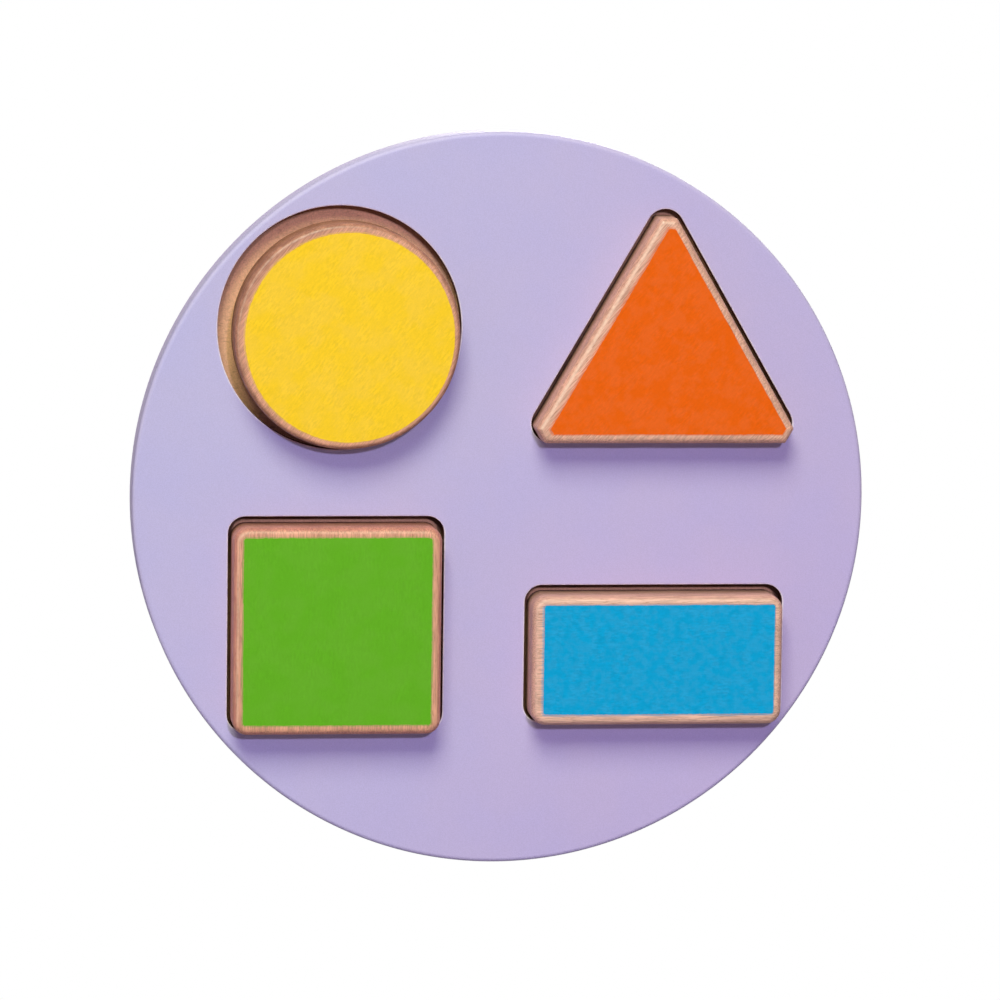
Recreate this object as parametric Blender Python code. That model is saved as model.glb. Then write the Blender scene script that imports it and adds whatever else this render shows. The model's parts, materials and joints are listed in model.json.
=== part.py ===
"""Round wall panel with four shape blocks that lift out of shallow pockets. Metres, +Z up.

The back of the panel lies in the plane y = 0, against the wall, with the origin at its centre.
The front faces -Y. Depths below are measured from the back of a piece towards the front, along -Y.
"""
import math

import bmesh
import bpy

# Panel: a raw board behind a lacquered face with four windows, glued and screwed together
RIM_WALL = 0.0032  # least wood between a pocket and the panel's edge
FACE_THICKNESS = 0.006
BOARD_THICKNESS = 0.009
FRONT_EDGE_ROUND = 0.0015
BACK_EDGE_CHAMFER = 0.001
POCKET_EDGE_BREAK = 0.0005
SEAT_GAP = 0.0003  # between pieces that rest on or fit in each other

# Blocks: bare wood with a rounded front edge and a coloured veneer let into the front
BLOCK_THICKNESS = 0.018
BLOCK_EDGE_ROUND = 0.0025
BLOCK_BACK_CHAMFER = 0.0005
BLOCK_CORNER = 0.005
BLOCK_PLAY = 0.0015  # on each side of the square, the rectangle and the triangle
POCKET_CORNER = 0.006
VENEER_THICKNESS = 0.0008
VENEER_LIP = 0.00045  # flat wood between the rounded edge and the veneer's recess

DISC_RADIUS = 0.0387
DISC_PLAY = 0.0033
SQUARE_SIDE = 0.0718
RECTANGLE_WIDTH = 0.0874
RECTANGLE_HEIGHT = 0.045
TRIANGLE_INRADIUS = 0.0276
TRIANGLE_TIP_CUT = 0.00185  # how far each tip of the veneer is cut back
TRIANGLE_FLAT_EASE = 0.0012  # radius where a cut corner meets a side
TRIANGLE_CORNER_GAP = 0.58  # gap left at the cut corners, as a share of the play

TRIANGLE_TIPS = (330, 90, 210)  # headings of the tips from the middle, in degrees

# Centres of the pockets on the panel
DISC_X = -0.0561
DISC_Z = 0.0596
TRIANGLE_X = 0.05625
TRIANGLE_Z = 0.0492
SQUARE_X = -0.0566
SQUARE_Z = -0.043
RECTANGLE_X = 0.0543
RECTANGLE_Z = -0.05375

# Where each block rests in its pocket, as a share of its play
DISC_REST = (0.63, -0.62)
TRIANGLE_REST = (0.2, -0.3)
SQUARE_REST = (-0.2, -0.69)
RECTANGLE_REST = (0.33, -0.35)

# Magnets: one sealed in each block and one behind a thin skin of the board
BLOCK_MAGNET_RADIUS = 0.006
BLOCK_MAGNET_THICKNESS = 0.003
BLOCK_PLUG_LENGTH = 0.002
BOARD_MAGNET_RADIUS = 0.0075
BOARD_MAGNET_THICKNESS = 0.003
BOARD_SKIN = 0.0015  # wood left between the board's magnet and the pocket
PLUG_CHAMFER = 0.0004

# Keyhole hangers let into the back, each with two countersunk screws
HANGER_WEB = 0.00325  # steel beside the keyhole, and between it and the screw heads
HANGER_END = 0.0024  # steel past the screw heads
HANGER_THICKNESS = 0.0015
HANGER_CORNER = 0.003
HANGER_Z = 0.030
HANGER_RIM_MARGIN = 0.014  # from the plate's outer top corner to the panel's edge
KEYHOLE_HEAD_RADIUS = 0.00475
KEYHOLE_SLOT_WIDTH = 0.005
KEYHOLE_SLOT_LENGTH = 0.009  # from the centre of the head hole to the seat of the hanging screw
KEYHOLE_ROOM = 0.0034  # depth left in front of the plate for the hanging screw's head
KEYHOLE_MARGIN = 0.001  # how far that room runs past the keyhole
HANGER_SCREW_HEAD = 0.0024
HANGER_SCREW_SHANK = 0.0012
HANGER_SCREW_BITE = 0.004

# Countersunk screws that hold the board to the face
BOARD_SCREW_HEAD = 0.003
BOARD_SCREW_SHANK = 0.0015
BOARD_SCREW_BITE = 0.003
BOARD_SCREW_RIM_MARGIN = 0.017

# Fineness of the round shapes
PANEL_SIDES = 96
DISC_SIDES = 64
MAGNET_SIDES = 20
SCREW_SIDES = 12
ARC_STEPS = 5
SMOOTH_ANGLE = 35  # degrees; a sharper edge shows as an edge
OVERCUT = 0.001  # how far a cutter runs past the face that it opens

# Colour in sRGB, roughness and metallic value of each finish
FINISHES = {
    "lilac_lacquer": ((193, 181, 219), 0.5, 0.0),
    "raw_fibreboard": ((190, 143, 112), 0.9, 0.0),
    "bare_beech": ((222, 172, 140), 0.6, 0.0),
    "yellow_stain": ((248, 203, 57), 0.55, 0.0),
    "orange_stain": ((235, 101, 25), 0.55, 0.0),
    "green_stain": ((103, 174, 41), 0.55, 0.0),
    "blue_stain": ((29, 161, 207), 0.55, 0.0),
    "zinc_steel": ((190, 190, 186), 0.35, 1.0),
    "nickel_magnet": ((176, 174, 168), 0.25, 1.0),
}


def clear_scene():
    for old in list(bpy.data.objects):
        bpy.data.objects.remove(old, do_unlink=True)


def linear_channel(value):
    share = value / 255
    if share <= 0.04045:
        return share / 12.92
    return ((share + 0.055) / 1.055) ** 2.4


def make_material(name, finish):
    colour, roughness, metallic = FINISHES[finish]
    material = bpy.data.materials.new(name)
    material.use_nodes = True
    shader = material.node_tree.nodes["Principled BSDF"]
    shader.inputs["Base Color"].default_value = (*map(linear_channel, colour), 1.0)
    shader.inputs["Roughness"].default_value = roughness
    shader.inputs["Metallic"].default_value = metallic
    return material


# Outlines: lists of (x, z) points, anticlockwise

def circle(radius, sides):
    turns = [2 * math.pi * step / sides for step in range(sides)]
    return [(radius * math.cos(turn), radius * math.sin(turn)) for turn in turns]


def unit(start, end):
    length = math.dist(start, end)
    return ((end[0] - start[0]) / length, (end[1] - start[1]) / length)


def rounded_polygon(corners, radius):
    """Convex outline with an arc of the radius at each corner."""
    points = []
    for index, corner in enumerate(corners):
        back = unit(corner, corners[index - 1])
        ahead = unit(corner, corners[(index + 1) % len(corners)])
        inside = math.acos(back[0] * ahead[0] + back[1] * ahead[1])
        middle = unit((0, 0), (back[0] + ahead[0], back[1] + ahead[1]))
        reach = radius / math.sin(inside / 2)
        centre = (corner[0] + middle[0] * reach, corner[1] + middle[1] * reach)
        start = math.atan2(-middle[1], -middle[0]) - (math.pi - inside) / 2
        for step in range(ARC_STEPS + 1):
            turn = start + (math.pi - inside) * step / ARC_STEPS
            points.append((centre[0] + radius * math.cos(turn), centre[1] + radius * math.sin(turn)))
    return points


def rounded_rectangle(width, height, corner):
    x = width / 2
    z = height / 2
    return rounded_polygon([(x, -z), (x, z), (-x, z), (-x, -z)], corner)


def stadium(width, height):
    """Upright slot with round ends."""
    radius = width / 2
    rise = height / 2 - radius
    points = []
    for start, z in ((0, rise), (math.pi, -rise)):
        for step in range(2 * ARC_STEPS + 1):
            turn = start + math.pi * step / (2 * ARC_STEPS)
            points.append((radius * math.cos(turn), z + radius * math.sin(turn)))
    return points


def polar(distance, degrees):
    turn = math.radians(degrees)
    return (distance * math.cos(turn), distance * math.sin(turn))


def veneer_inset():
    """From a block's side to the edge of its veneer."""
    return BLOCK_EDGE_ROUND + VENEER_LIP + SEAT_GAP


def triangle_cut():
    """Depth of the flat cut at each corner of the triangle, from the sharp tip."""
    return veneer_inset() + TRIANGLE_TIP_CUT


def cut_triangle(grow):
    """Triangle whose corners are cut flat, with the six edges eased, offset outwards by grow."""
    inradius = TRIANGLE_INRADIUS + grow
    cut = triangle_cut() + grow
    corners = []
    for heading in TRIANGLE_TIPS:
        tip = polar(2 * inradius, heading)
        for side in (-150, 150):
            along = polar(cut / math.cos(math.radians(30)), heading + side)
            corners.append((tip[0] + along[0], tip[1] + along[1]))
    ease = max(TRIANGLE_FLAT_EASE + grow, SEAT_GAP)
    return rounded_polygon(corners, ease)


def triangle_pocket_corner():
    """Corner radius that leaves the stated gap at the ends of the block's flat corners."""
    gap = TRIANGLE_CORNER_GAP * BLOCK_PLAY
    span = triangle_cut() + 2 * BLOCK_PLAY
    linear = 2 * gap - 4 * span
    constant = span ** 2 + triangle_cut() ** 2 / 3 - gap ** 2
    return (-linear + math.sqrt(linear ** 2 - 12 * constant)) / 6


def block_outline(shape, grow=0.0):
    """Side outline of a block, offset outwards by grow."""
    if shape == "disc":
        return circle(DISC_RADIUS + grow, DISC_SIDES)
    if shape == "triangle":
        return cut_triangle(grow)
    width, height = block_size(shape)
    return rounded_rectangle(width + 2 * grow, height + 2 * grow, BLOCK_CORNER + grow)


def block_size(shape):
    if shape == "square":
        return SQUARE_SIDE, SQUARE_SIDE
    return RECTANGLE_WIDTH, RECTANGLE_HEIGHT


def pocket_outline(shape, grow=0.0):
    """Outline of a pocket, offset outwards by grow."""
    if shape == "disc":
        return circle(DISC_RADIUS + DISC_PLAY + grow, DISC_SIDES)
    play = BLOCK_PLAY + grow
    if shape == "triangle":
        tips = [polar(2 * (TRIANGLE_INRADIUS + play), heading) for heading in TRIANGLE_TIPS]
        return rounded_polygon(tips, triangle_pocket_corner() + grow)
    width, height = block_size(shape)
    return rounded_rectangle(width + 2 * play, height + 2 * play, POCKET_CORNER + grow)


# Layout of the panel

POCKETS = {
    "disc": (DISC_X, DISC_Z),
    "triangle": (TRIANGLE_X, TRIANGLE_Z),
    "square": (SQUARE_X, SQUARE_Z),
    "rectangle": (RECTANGLE_X, RECTANGLE_Z),
}
RESTS = {
    "disc": (DISC_REST, DISC_PLAY),
    "triangle": (TRIANGLE_REST, BLOCK_PLAY),
    "square": (SQUARE_REST, BLOCK_PLAY),
    "rectangle": (RECTANGLE_REST, BLOCK_PLAY),
}
STAINS = {
    "disc": "yellow_stain",
    "triangle": "orange_stain",
    "square": "green_stain",
    "rectangle": "blue_stain",
}


def placed_pocket(shape):
    x, z = POCKETS[shape]
    return [(x + point[0], z + point[1]) for point in pocket_outline(shape)]


def pocket_edges(shape):
    """Left, right, bottom and top of a pocket on the panel."""
    xs, zs = zip(*placed_pocket(shape))
    return min(xs), max(xs), min(zs), max(zs)


def panel_radius():
    reach = max(math.hypot(*point) for shape in POCKETS for point in placed_pocket(shape))
    return reach + RIM_WALL


def rest_place(shape):
    """Centre of a block's back where it rests in its pocket."""
    x, z = POCKETS[shape]
    share, play = RESTS[shape]
    return (x + share[0] * play, -(BOARD_THICKNESS + SEAT_GAP), z + share[1] * play)


def hanger_width():
    return 2 * (KEYHOLE_HEAD_RADIUS + HANGER_WEB)


def hanger_screw_offset():
    """From the middle of a hanger to each of its screws."""
    keyhole_end = KEYHOLE_SLOT_LENGTH / 2 + KEYHOLE_HEAD_RADIUS
    return keyhole_end + HANGER_WEB + SEAT_GAP + HANGER_SCREW_HEAD


def hanger_height():
    return 2 * (hanger_screw_offset() + HANGER_SCREW_HEAD + HANGER_END)


def hanger_places():
    top = HANGER_Z + hanger_height() / 2
    outer = math.sqrt((panel_radius() - HANGER_RIM_MARGIN) ** 2 - top ** 2)
    x = outer - hanger_width() / 2
    return {"left": (-x, 0.0, HANGER_Z), "right": (x, 0.0, HANGER_Z)}


def board_screw_places():
    """Four screws near the rim and two in the webs between the pockets, clear of every pocket."""
    disc_right, disc_bottom = pocket_edges("disc")[1:3]
    triangle_left, _, triangle_bottom, _ = pocket_edges("triangle")
    _, square_right, _, square_top = pocket_edges("square")
    rectangle_left, _, _, rectangle_top = pocket_edges("rectangle")
    ring = panel_radius() - BOARD_SCREW_RIM_MARGIN
    return {
        "top": (0.0, 0.0, ring),
        "bottom": (0.0, 0.0, -ring),
        "left": (-ring, 0.0, (disc_bottom + square_top) / 2),
        "right": (ring, 0.0, (triangle_bottom + rectangle_top) / 2),
        "upper_web": ((disc_right + triangle_left) / 2, 0.0, (DISC_Z + disc_bottom) / 2),
        "lower_web": ((square_right + rectangle_left) / 2, 0.0, RECTANGLE_Z),
    }


# Meshes and objects

def loft(name, rings):
    """Closed mesh through outlines of one point count; a ring is (depth, outline)."""
    form = bmesh.new()
    loops = [[form.verts.new((x, -depth, z)) for x, z in outline] for depth, outline in rings]
    for near, far in zip(loops, loops[1:]):
        for index in range(len(near)):
            form.faces.new((near[index - 1], near[index], far[index], far[index - 1]))
    form.faces.new(loops[0])
    form.faces.new(loops[-1])
    bmesh.ops.recalc_face_normals(form, faces=form.faces)
    mesh = bpy.data.meshes.new(name)
    form.to_mesh(mesh)
    form.free()
    mesh.shade_smooth()
    mesh.set_sharp_from_angle(angle=math.radians(SMOOTH_ANGLE))
    return mesh


def place(name, rings, parent, location):
    piece = bpy.data.objects.new(name, loft(name, rings))
    bpy.context.scene.collection.objects.link(piece)
    piece.parent = parent
    piece.location = location
    return piece


def add_piece(name, rings, finish, parent=None, location=(0, 0, 0)):
    piece = place(name, rings, parent, location)
    piece.data.materials.append(make_material(name, finish))
    return piece


def cut_away(piece, name, rings, location=(0, 0, 0)):
    """Cut the lofted form out of the piece; the cutter is placed beside the piece, under its parent."""
    cutter = place(name, rings, piece.parent, location)
    cutter.hide_render = True
    cutter.display_type = "WIRE"
    boolean = piece.modifiers.new(name, "BOOLEAN")
    boolean.operation = "DIFFERENCE"
    boolean.solver = "EXACT"
    boolean.object = cutter


def add_frame(name, location):
    empty = bpy.data.objects.new(name, None)
    bpy.context.scene.collection.objects.link(empty)
    empty.location = location
    return empty


def rounded_front(front, radius):
    """Inset and depth of each step round a front edge, from the side to the front."""
    for step in range(ARC_STEPS):
        turn = math.pi / 2 * step / (ARC_STEPS - 1)
        yield radius * (1 - math.cos(turn)), front - radius * (1 - math.sin(turn))


def turned(profile, sides):
    """Rings of a turned form; the profile is (depth, radius) points."""
    return [(depth, circle(radius, sides)) for depth, radius in profile]


def screw_profile(head, shank, sunk, length):
    """Countersunk screw with its flat head sunk below the back and its end tapered to half its width."""
    cone = head - shank
    taper = shank
    return [
        (sunk, head),
        (sunk + cone, shank),
        (sunk + length - taper, shank),
        (sunk + length, shank / 2),
    ]


def screw_hole_profile(head, shank, sunk, length):
    """The screw's own form grown by the gap all round, and open at the back."""
    cone = head - shank
    return [
        (-OVERCUT, head + SEAT_GAP),
        (sunk, head + SEAT_GAP),
        (sunk + cone, shank + SEAT_GAP),
        (sunk + length + SEAT_GAP, shank + SEAT_GAP),
    ]


# Sub-parts

def face_depth():
    """Depth of the face's back, on the board."""
    return BOARD_THICKNESS + SEAT_GAP


def board_screw_length():
    return face_depth() + BOARD_SCREW_BITE - SEAT_GAP


def add_face_panel():
    back = face_depth()
    front = back + FACE_THICKNESS
    radius = panel_radius()
    rings = [(back, circle(radius, PANEL_SIDES))]
    for inset, depth in rounded_front(front, FRONT_EDGE_ROUND):
        rings.append((depth, circle(radius - inset, PANEL_SIDES)))
    face = add_piece("face_panel", rings, "lilac_lacquer")
    for shape, (x, z) in POCKETS.items():
        window = [
            (back - OVERCUT, pocket_outline(shape)),
            (front - POCKET_EDGE_BREAK, pocket_outline(shape)),
            (front, pocket_outline(shape, POCKET_EDGE_BREAK)),
            (front + OVERCUT, pocket_outline(shape, POCKET_EDGE_BREAK)),
        ]
        cut_away(face, f"{shape}_window", window, (x, 0, z))
    pilot_radius = BOARD_SCREW_SHANK + SEAT_GAP
    pilot_end = back + BOARD_SCREW_BITE + SEAT_GAP
    for name, spot in board_screw_places().items():
        pilot = turned([(back - OVERCUT, pilot_radius), (pilot_end, pilot_radius)], SCREW_SIDES)
        cut_away(face, f"{name}_pilot_hole", pilot, spot)


def add_back_board():
    radius = panel_radius()
    board = add_piece(
        "back_board",
        [
            (0, circle(radius - BACK_EDGE_CHAMFER, PANEL_SIDES)),
            (BACK_EDGE_CHAMFER, circle(radius, PANEL_SIDES)),
            (BOARD_THICKNESS, circle(radius, PANEL_SIDES)),
        ],
        "raw_fibreboard",
    )
    for shape, (x, z) in POCKETS.items():
        add_board_magnet(board, shape, (x, 0, z))
    for name, spot in board_screw_places().items():
        size = (BOARD_SCREW_HEAD, BOARD_SCREW_SHANK, SEAT_GAP, board_screw_length())
        cut_away(board, f"{name}_screw_hole", turned(screw_hole_profile(*size), SCREW_SIDES), spot)
        screw = turned(screw_profile(*size), SCREW_SIDES)
        add_piece(f"board_screw_{name}", screw, "zinc_steel", None, spot)
    for side, spot in hanger_places().items():
        add_hanger(board, side, spot)


def add_board_magnet(board, shape, spot):
    bore_depth = BOARD_THICKNESS - BOARD_SKIN
    bore_radius = BOARD_MAGNET_RADIUS + SEAT_GAP
    bore = turned([(-OVERCUT, bore_radius), (bore_depth, bore_radius)], MAGNET_SIDES)
    cut_away(board, f"{shape}_magnet_bore", bore, spot)
    magnet_front = bore_depth - SEAT_GAP
    magnet_back = magnet_front - BOARD_MAGNET_THICKNESS
    magnet = [(magnet_back, BOARD_MAGNET_RADIUS), (magnet_front, BOARD_MAGNET_RADIUS)]
    add_piece(f"{shape}_board_magnet", turned(magnet, MAGNET_SIDES), "nickel_magnet", None, spot)
    plug = [
        (SEAT_GAP, BOARD_MAGNET_RADIUS - PLUG_CHAMFER),
        (SEAT_GAP + PLUG_CHAMFER, BOARD_MAGNET_RADIUS),
        (magnet_back - SEAT_GAP, BOARD_MAGNET_RADIUS),
    ]
    add_piece(f"{shape}_board_plug", turned(plug, MAGNET_SIDES), "bare_beech", None, spot)


def hanger_outline(grow=0.0):
    return rounded_rectangle(hanger_width() + 2 * grow, hanger_height() + 2 * grow, HANGER_CORNER + grow)


def add_hanger(board, side, spot):
    """Steel keyhole plate in its recess in the board, with room in front of the keyhole."""
    plate_front = SEAT_GAP + HANGER_THICKNESS
    outline = hanger_outline()
    plate = add_piece(
        f"{side}_hanger", [(SEAT_GAP, outline), (plate_front, outline)], "zinc_steel", None, spot
    )
    head_spot = (spot[0], spot[1], spot[2] - KEYHOLE_SLOT_LENGTH / 2)
    head_hole = circle(KEYHOLE_HEAD_RADIUS, MAGNET_SIDES)
    slot = stadium(KEYHOLE_SLOT_WIDTH, KEYHOLE_SLOT_LENGTH + KEYHOLE_SLOT_WIDTH)
    through = (-OVERCUT, plate_front + OVERCUT)
    cut_away(plate, f"{side}_keyhole_head", [(depth, head_hole) for depth in through], head_spot)
    cut_away(plate, f"{side}_keyhole_slot", [(depth, slot) for depth in through], spot)

    recess = hanger_outline(SEAT_GAP)
    recess_floor = plate_front + SEAT_GAP
    cut_away(board, f"{side}_hanger_recess", [(-OVERCUT, recess), (recess_floor, recess)], spot)
    room_width = 2 * (KEYHOLE_HEAD_RADIUS + KEYHOLE_MARGIN)
    room = stadium(room_width, KEYHOLE_SLOT_LENGTH + room_width)
    room_floor = recess_floor + KEYHOLE_ROOM
    cut_away(board, f"{side}_keyhole_room", [(-OVERCUT, room), (room_floor, room)], spot)

    size = (HANGER_SCREW_HEAD, HANGER_SCREW_SHANK, SEAT_GAP, plate_front + HANGER_SCREW_BITE)
    for end, rise in (("top", hanger_screw_offset()), ("bottom", -hanger_screw_offset())):
        screw_spot = (spot[0], spot[1], spot[2] + rise)
        hole = turned(screw_hole_profile(*size), SCREW_SIDES)
        cut_away(plate, f"{side}_{end}_plate_hole", hole, screw_spot)
        cut_away(board, f"{side}_{end}_board_hole", hole, screw_spot)
        screw = turned(screw_profile(*size), SCREW_SIDES)
        add_piece(f"{side}_hanger_screw_{end}", screw, "zinc_steel", None, screw_spot)


def block_rings(shape):
    """Block from its eased back edge, up the side, over the rounded front edge and down into the recess."""
    rings = [(0, block_outline(shape, -BLOCK_BACK_CHAMFER)), (BLOCK_BACK_CHAMFER, block_outline(shape))]
    for inset, depth in rounded_front(BLOCK_THICKNESS, BLOCK_EDGE_ROUND):
        rings.append((depth, block_outline(shape, -inset)))
    recess = block_outline(shape, SEAT_GAP - veneer_inset())
    rings.append((BLOCK_THICKNESS, recess))
    rings.append((BLOCK_THICKNESS - VENEER_THICKNESS - SEAT_GAP, recess))
    return rings


def add_block(shape):
    """Block with its veneer, magnet and plug, all on an empty whose Y axis is the way it lifts out."""
    lift = add_frame(f"{shape}_lift", rest_place(shape))
    block = add_piece(f"{shape}_block", block_rings(shape), "bare_beech", lift)
    veneer = block_outline(shape, -veneer_inset())
    veneer_rings = [(BLOCK_THICKNESS - VENEER_THICKNESS, veneer), (BLOCK_THICKNESS, veneer)]
    add_piece(f"{shape}_veneer", veneer_rings, STAINS[shape], lift)
    plug_front = SEAT_GAP + BLOCK_PLUG_LENGTH
    magnet_back = plug_front + SEAT_GAP
    magnet_front = magnet_back + BLOCK_MAGNET_THICKNESS
    bore_radius = BLOCK_MAGNET_RADIUS + SEAT_GAP
    bore = [(-OVERCUT, bore_radius), (magnet_front + SEAT_GAP, bore_radius)]
    cut_away(block, f"{shape}_block_bore", turned(bore, MAGNET_SIDES))
    magnet = [(magnet_back, BLOCK_MAGNET_RADIUS), (magnet_front, BLOCK_MAGNET_RADIUS)]
    add_piece(f"{shape}_block_magnet", turned(magnet, MAGNET_SIDES), "nickel_magnet", lift)
    plug = [
        (SEAT_GAP, BLOCK_MAGNET_RADIUS - PLUG_CHAMFER),
        (SEAT_GAP + PLUG_CHAMFER, BLOCK_MAGNET_RADIUS),
        (plug_front, BLOCK_MAGNET_RADIUS),
    ]
    add_piece(f"{shape}_block_plug", turned(plug, MAGNET_SIDES), "bare_beech", lift)


def main():
    clear_scene()
    add_face_panel()
    add_back_board()
    for shape in POCKETS:
        add_block(shape)


main()
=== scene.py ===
"""Looks of a round wall panel: a lacquered face, a raw board, four stained blocks and the fittings behind.

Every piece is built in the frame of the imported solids: metres, +Z up, the wall in the plane y = 0 and the
front towards -Y. A depth is measured from the wall to the front, and an outline is a list of (x, z) points.
"""
import json
import math
from typing import NamedTuple

import bmesh
import bpy
from bpy.props import FloatProperty, FloatVectorProperty, PointerProperty
from mathutils import Euler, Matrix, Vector, noise
from mathutils.geometry import delaunay_2d_cdt


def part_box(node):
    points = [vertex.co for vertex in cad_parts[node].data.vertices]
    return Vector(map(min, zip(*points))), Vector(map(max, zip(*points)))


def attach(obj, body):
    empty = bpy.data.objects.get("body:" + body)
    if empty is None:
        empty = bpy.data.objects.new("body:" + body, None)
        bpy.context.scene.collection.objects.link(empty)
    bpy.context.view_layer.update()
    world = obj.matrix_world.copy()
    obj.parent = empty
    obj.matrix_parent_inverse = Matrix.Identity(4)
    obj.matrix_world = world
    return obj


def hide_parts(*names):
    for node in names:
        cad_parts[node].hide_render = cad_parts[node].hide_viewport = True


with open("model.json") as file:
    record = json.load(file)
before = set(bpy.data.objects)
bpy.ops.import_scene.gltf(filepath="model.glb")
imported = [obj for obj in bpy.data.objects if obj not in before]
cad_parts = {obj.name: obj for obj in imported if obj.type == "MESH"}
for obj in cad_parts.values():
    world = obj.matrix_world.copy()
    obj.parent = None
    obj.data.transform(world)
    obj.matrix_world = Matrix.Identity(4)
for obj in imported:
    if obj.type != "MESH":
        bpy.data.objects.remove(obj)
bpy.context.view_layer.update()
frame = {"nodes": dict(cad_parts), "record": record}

bl_info = {
    "name": "Sensory wall panel",
    "version": (1, 0, 0),
    "blender": (4, 5, 0),
    "location": "3D View > Sidebar > Wall panel",
    "description": "Dresses the wall panel, its four shape blocks and its fittings, and lights them",
    "category": "Object",
}

SHAPES = ("disc", "triangle", "square", "rectangle")
SIDES = ("left", "right")
ENDS = ("top", "bottom")
SCREW_PLACES = ("top", "bottom", "left", "right", "upper_web", "lower_web")
BOARD_SCREWS = [f"board_screw_{place}" for place in SCREW_PLACES]
HANGER_SCREWS = [f"{side}_hanger_screw_{end}" for side in SIDES for end in ENDS]


class BlockLook(NamedTuple):
    """How one block differs from the next; lengths in metres, pairs to the right and up."""

    grain: float  # heading of the wood's grain, in degrees from +X towards +Z
    thinness: float  # share of the wood that shows through the thinnest patches of the stain
    patches: float = 120.0  # patches of the stain in a metre
    streaks: float = 0.8  # how strongly the grain shows through the stain
    nudge: tuple = (0.0, 0.0)  # where the block lies within the play in its pocket
    shift: tuple = (0.0, 0.0)  # how far its colour lies off the middle
    spread: float = 0.0  # how much nearer to the side than the plain border its colour runs
    rounding: float = 1.0  # share of the plain edge rounding
    wear: float = 0.35  # strength of the painted highlight along its front edge, which also lowers its roughness
    sawn_and_shaded: tuple = (0.82, 0.67, 0.8)  # factors that darken the wood on its sides: the saw-cut wood's darker tone and painted shade
    turned: float = 0.62  # share of the edge rounding at which that dark ends
    shade_heading: tuple = (0.0, 0.0)  # how much further that painted shade runs on the sides that face this way
    fade: float = 0.25  # share of the edge rounding over which it fades
    clean: float = 0.0  # how much of the painted shade at its foot its top side lacks
    pale: float = 0.0  # share of paler wood
    scorch: tuple = (0.9, 1.0)  # shares of the painted shade on its pocket's floor at the sides and at the top


LOOKS = {
    "disc": BlockLook(
        grain=52.0,
        thinness=0.05,
        nudge=(-0.0003, 0.0),
        shift=(0.00045, -0.0003),
        spread=0.00065,
        rounding=0.7,
        sawn_and_shaded=(0.56, 0.49, 0.48),
        turned=0.85,
        shade_heading=(-0.36, 0.27),
        fade=0.5,
        clean=0.9,
        scorch=(0.1, 0.7),
    ),
    "triangle": BlockLook(
        grain=47.0,
        thinness=0.025,
        patches=260.0,
        streaks=0.55,
        nudge=(-0.0007, -0.00035),
        shift=(0.0002, -0.00045),
        spread=0.0001,
        wear=0.85,
        sawn_and_shaded=(0.94, 0.89, 0.94),
        pale=0.2,
        scorch=(0.9, 0.5),
    ),
    "square": BlockLook(grain=90.0, thinness=0.015, streaks=0.5),
    "rectangle": BlockLook(
        grain=0.0,
        thinness=0.018,
        patches=330.0,
        streaks=1.0,
        nudge=(-0.0006, -0.0004),
        sawn_and_shaded=(0.86, 0.77, 0.84),
        turned=0.5,
        shade_heading=(-0.35, 0.0),
        pale=0.35,
    ),
}
PLUG_LOOK = BlockLook(grain=30.0, thinness=0.0)
TRIANGLE_TIPS = (330, 90, 210)  # headings of the triangle's corners from its middle, in degrees

# Fineness of the meshes
POINT_SPACING = 0.0009  # along the outlines of the blocks and pockets
PANEL_POINTS = 320
ROUND_STEPS = 8
ARC_STEPS = 10
BORE_POINTS = 48
SCREW_SIDES = 32
BLADE_SIDES = 4
THREAD_POINTS = 24  # in one turn
SMOOTH_ANGLE = math.radians(32)
SUPPORT = 0.00012  # width of the strip that keeps a flat face flat beside a rounded edge
FLAT_TOLERANCE = 1e-5
FILL_WITH_HOLES = 2  # kind of fill that leaves inner outlines open
FILL_NEARNESS = 1e-9
POCKET_SEARCH = 0.008  # how far round a block the edge of its pocket is looked for
RIM_MARGIN = 0.001  # points this near the rim belong to no pocket

# Traces of use and of the tools, with painted light and shade
MILLIMETRES = 1000  # the border value on a mesh is in millimetres
RIM_HIGHLIGHT = 0.3  # paler lacquer and painted highlight on the rim, as a share of that along the pockets' edges
PAINTED_SHADE_FADE = ((0.0, 1.0), (0.7, 1.0), (0.85, 0.5), (1.0, 0.0))  # painted shade on a pocket's floor: share of its width, its strength
FOOT_SHADE_RINGS = (0.0, 0.5, 1.0, 1.6, 2.2)  # rings up a block's side, as shares of the painted shade's height
FOOT_SHADE_RISE = 1.2  # how much higher the painted shade runs on an upward side
FOOT_SHADE_FADE = 0.6
RIDGE_PLACE = 0.62  # share of the edge rounding at which the painted highlight is strongest
RIDGE_WIDTH = 0.4
HIGHLIGHT_HEADING = Vector((-0.8, 0.6))  # side of a block whose front edge gets the most painted highlight
LEAST_HIGHLIGHT = 0.2
SANDING = 0.12  # share by which the edge rounding varies
SANDING_WAVES = 90  # in a metre
BORDER_WAVES = 140  # in a metre
STAIN_INSETS = (0.00005, 0.00015, 0.0003, 0.0005, 0.0008, 0.0012, 0.002, 0.004, 0.008)
PLUG_CROWN = 0.00003  # how far the middle of a plug's end stands above its chamfer
LACQUER_PATCHES = (0.97, 0.985, 1.02)  # tint of its cooler patches
LACQUER_LIGHT_DRIFT = (  # painted light and shade: the lacquer's colour drifts from left to right and from the bottom to the top
    ("X", (0.99, 1.03, 1.01), (0.993, 0.94, 0.962)),
    ("Z", (1.03, 0.995, 1.015), (0.975, 1.0, 0.98)),
)
LIGHT_DRIFT_REACH = 0.12
# Colour of the painted highlight along the front edges of the wooden pieces
HIGHLIGHT_WOOD = (0.9, 0.62, 0.45)
GRAIN_STEP = (0.37, 0.11)  # how far apart the grain of one block lies from that of the next
GRAIN_DEPTH = 0.23

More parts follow.
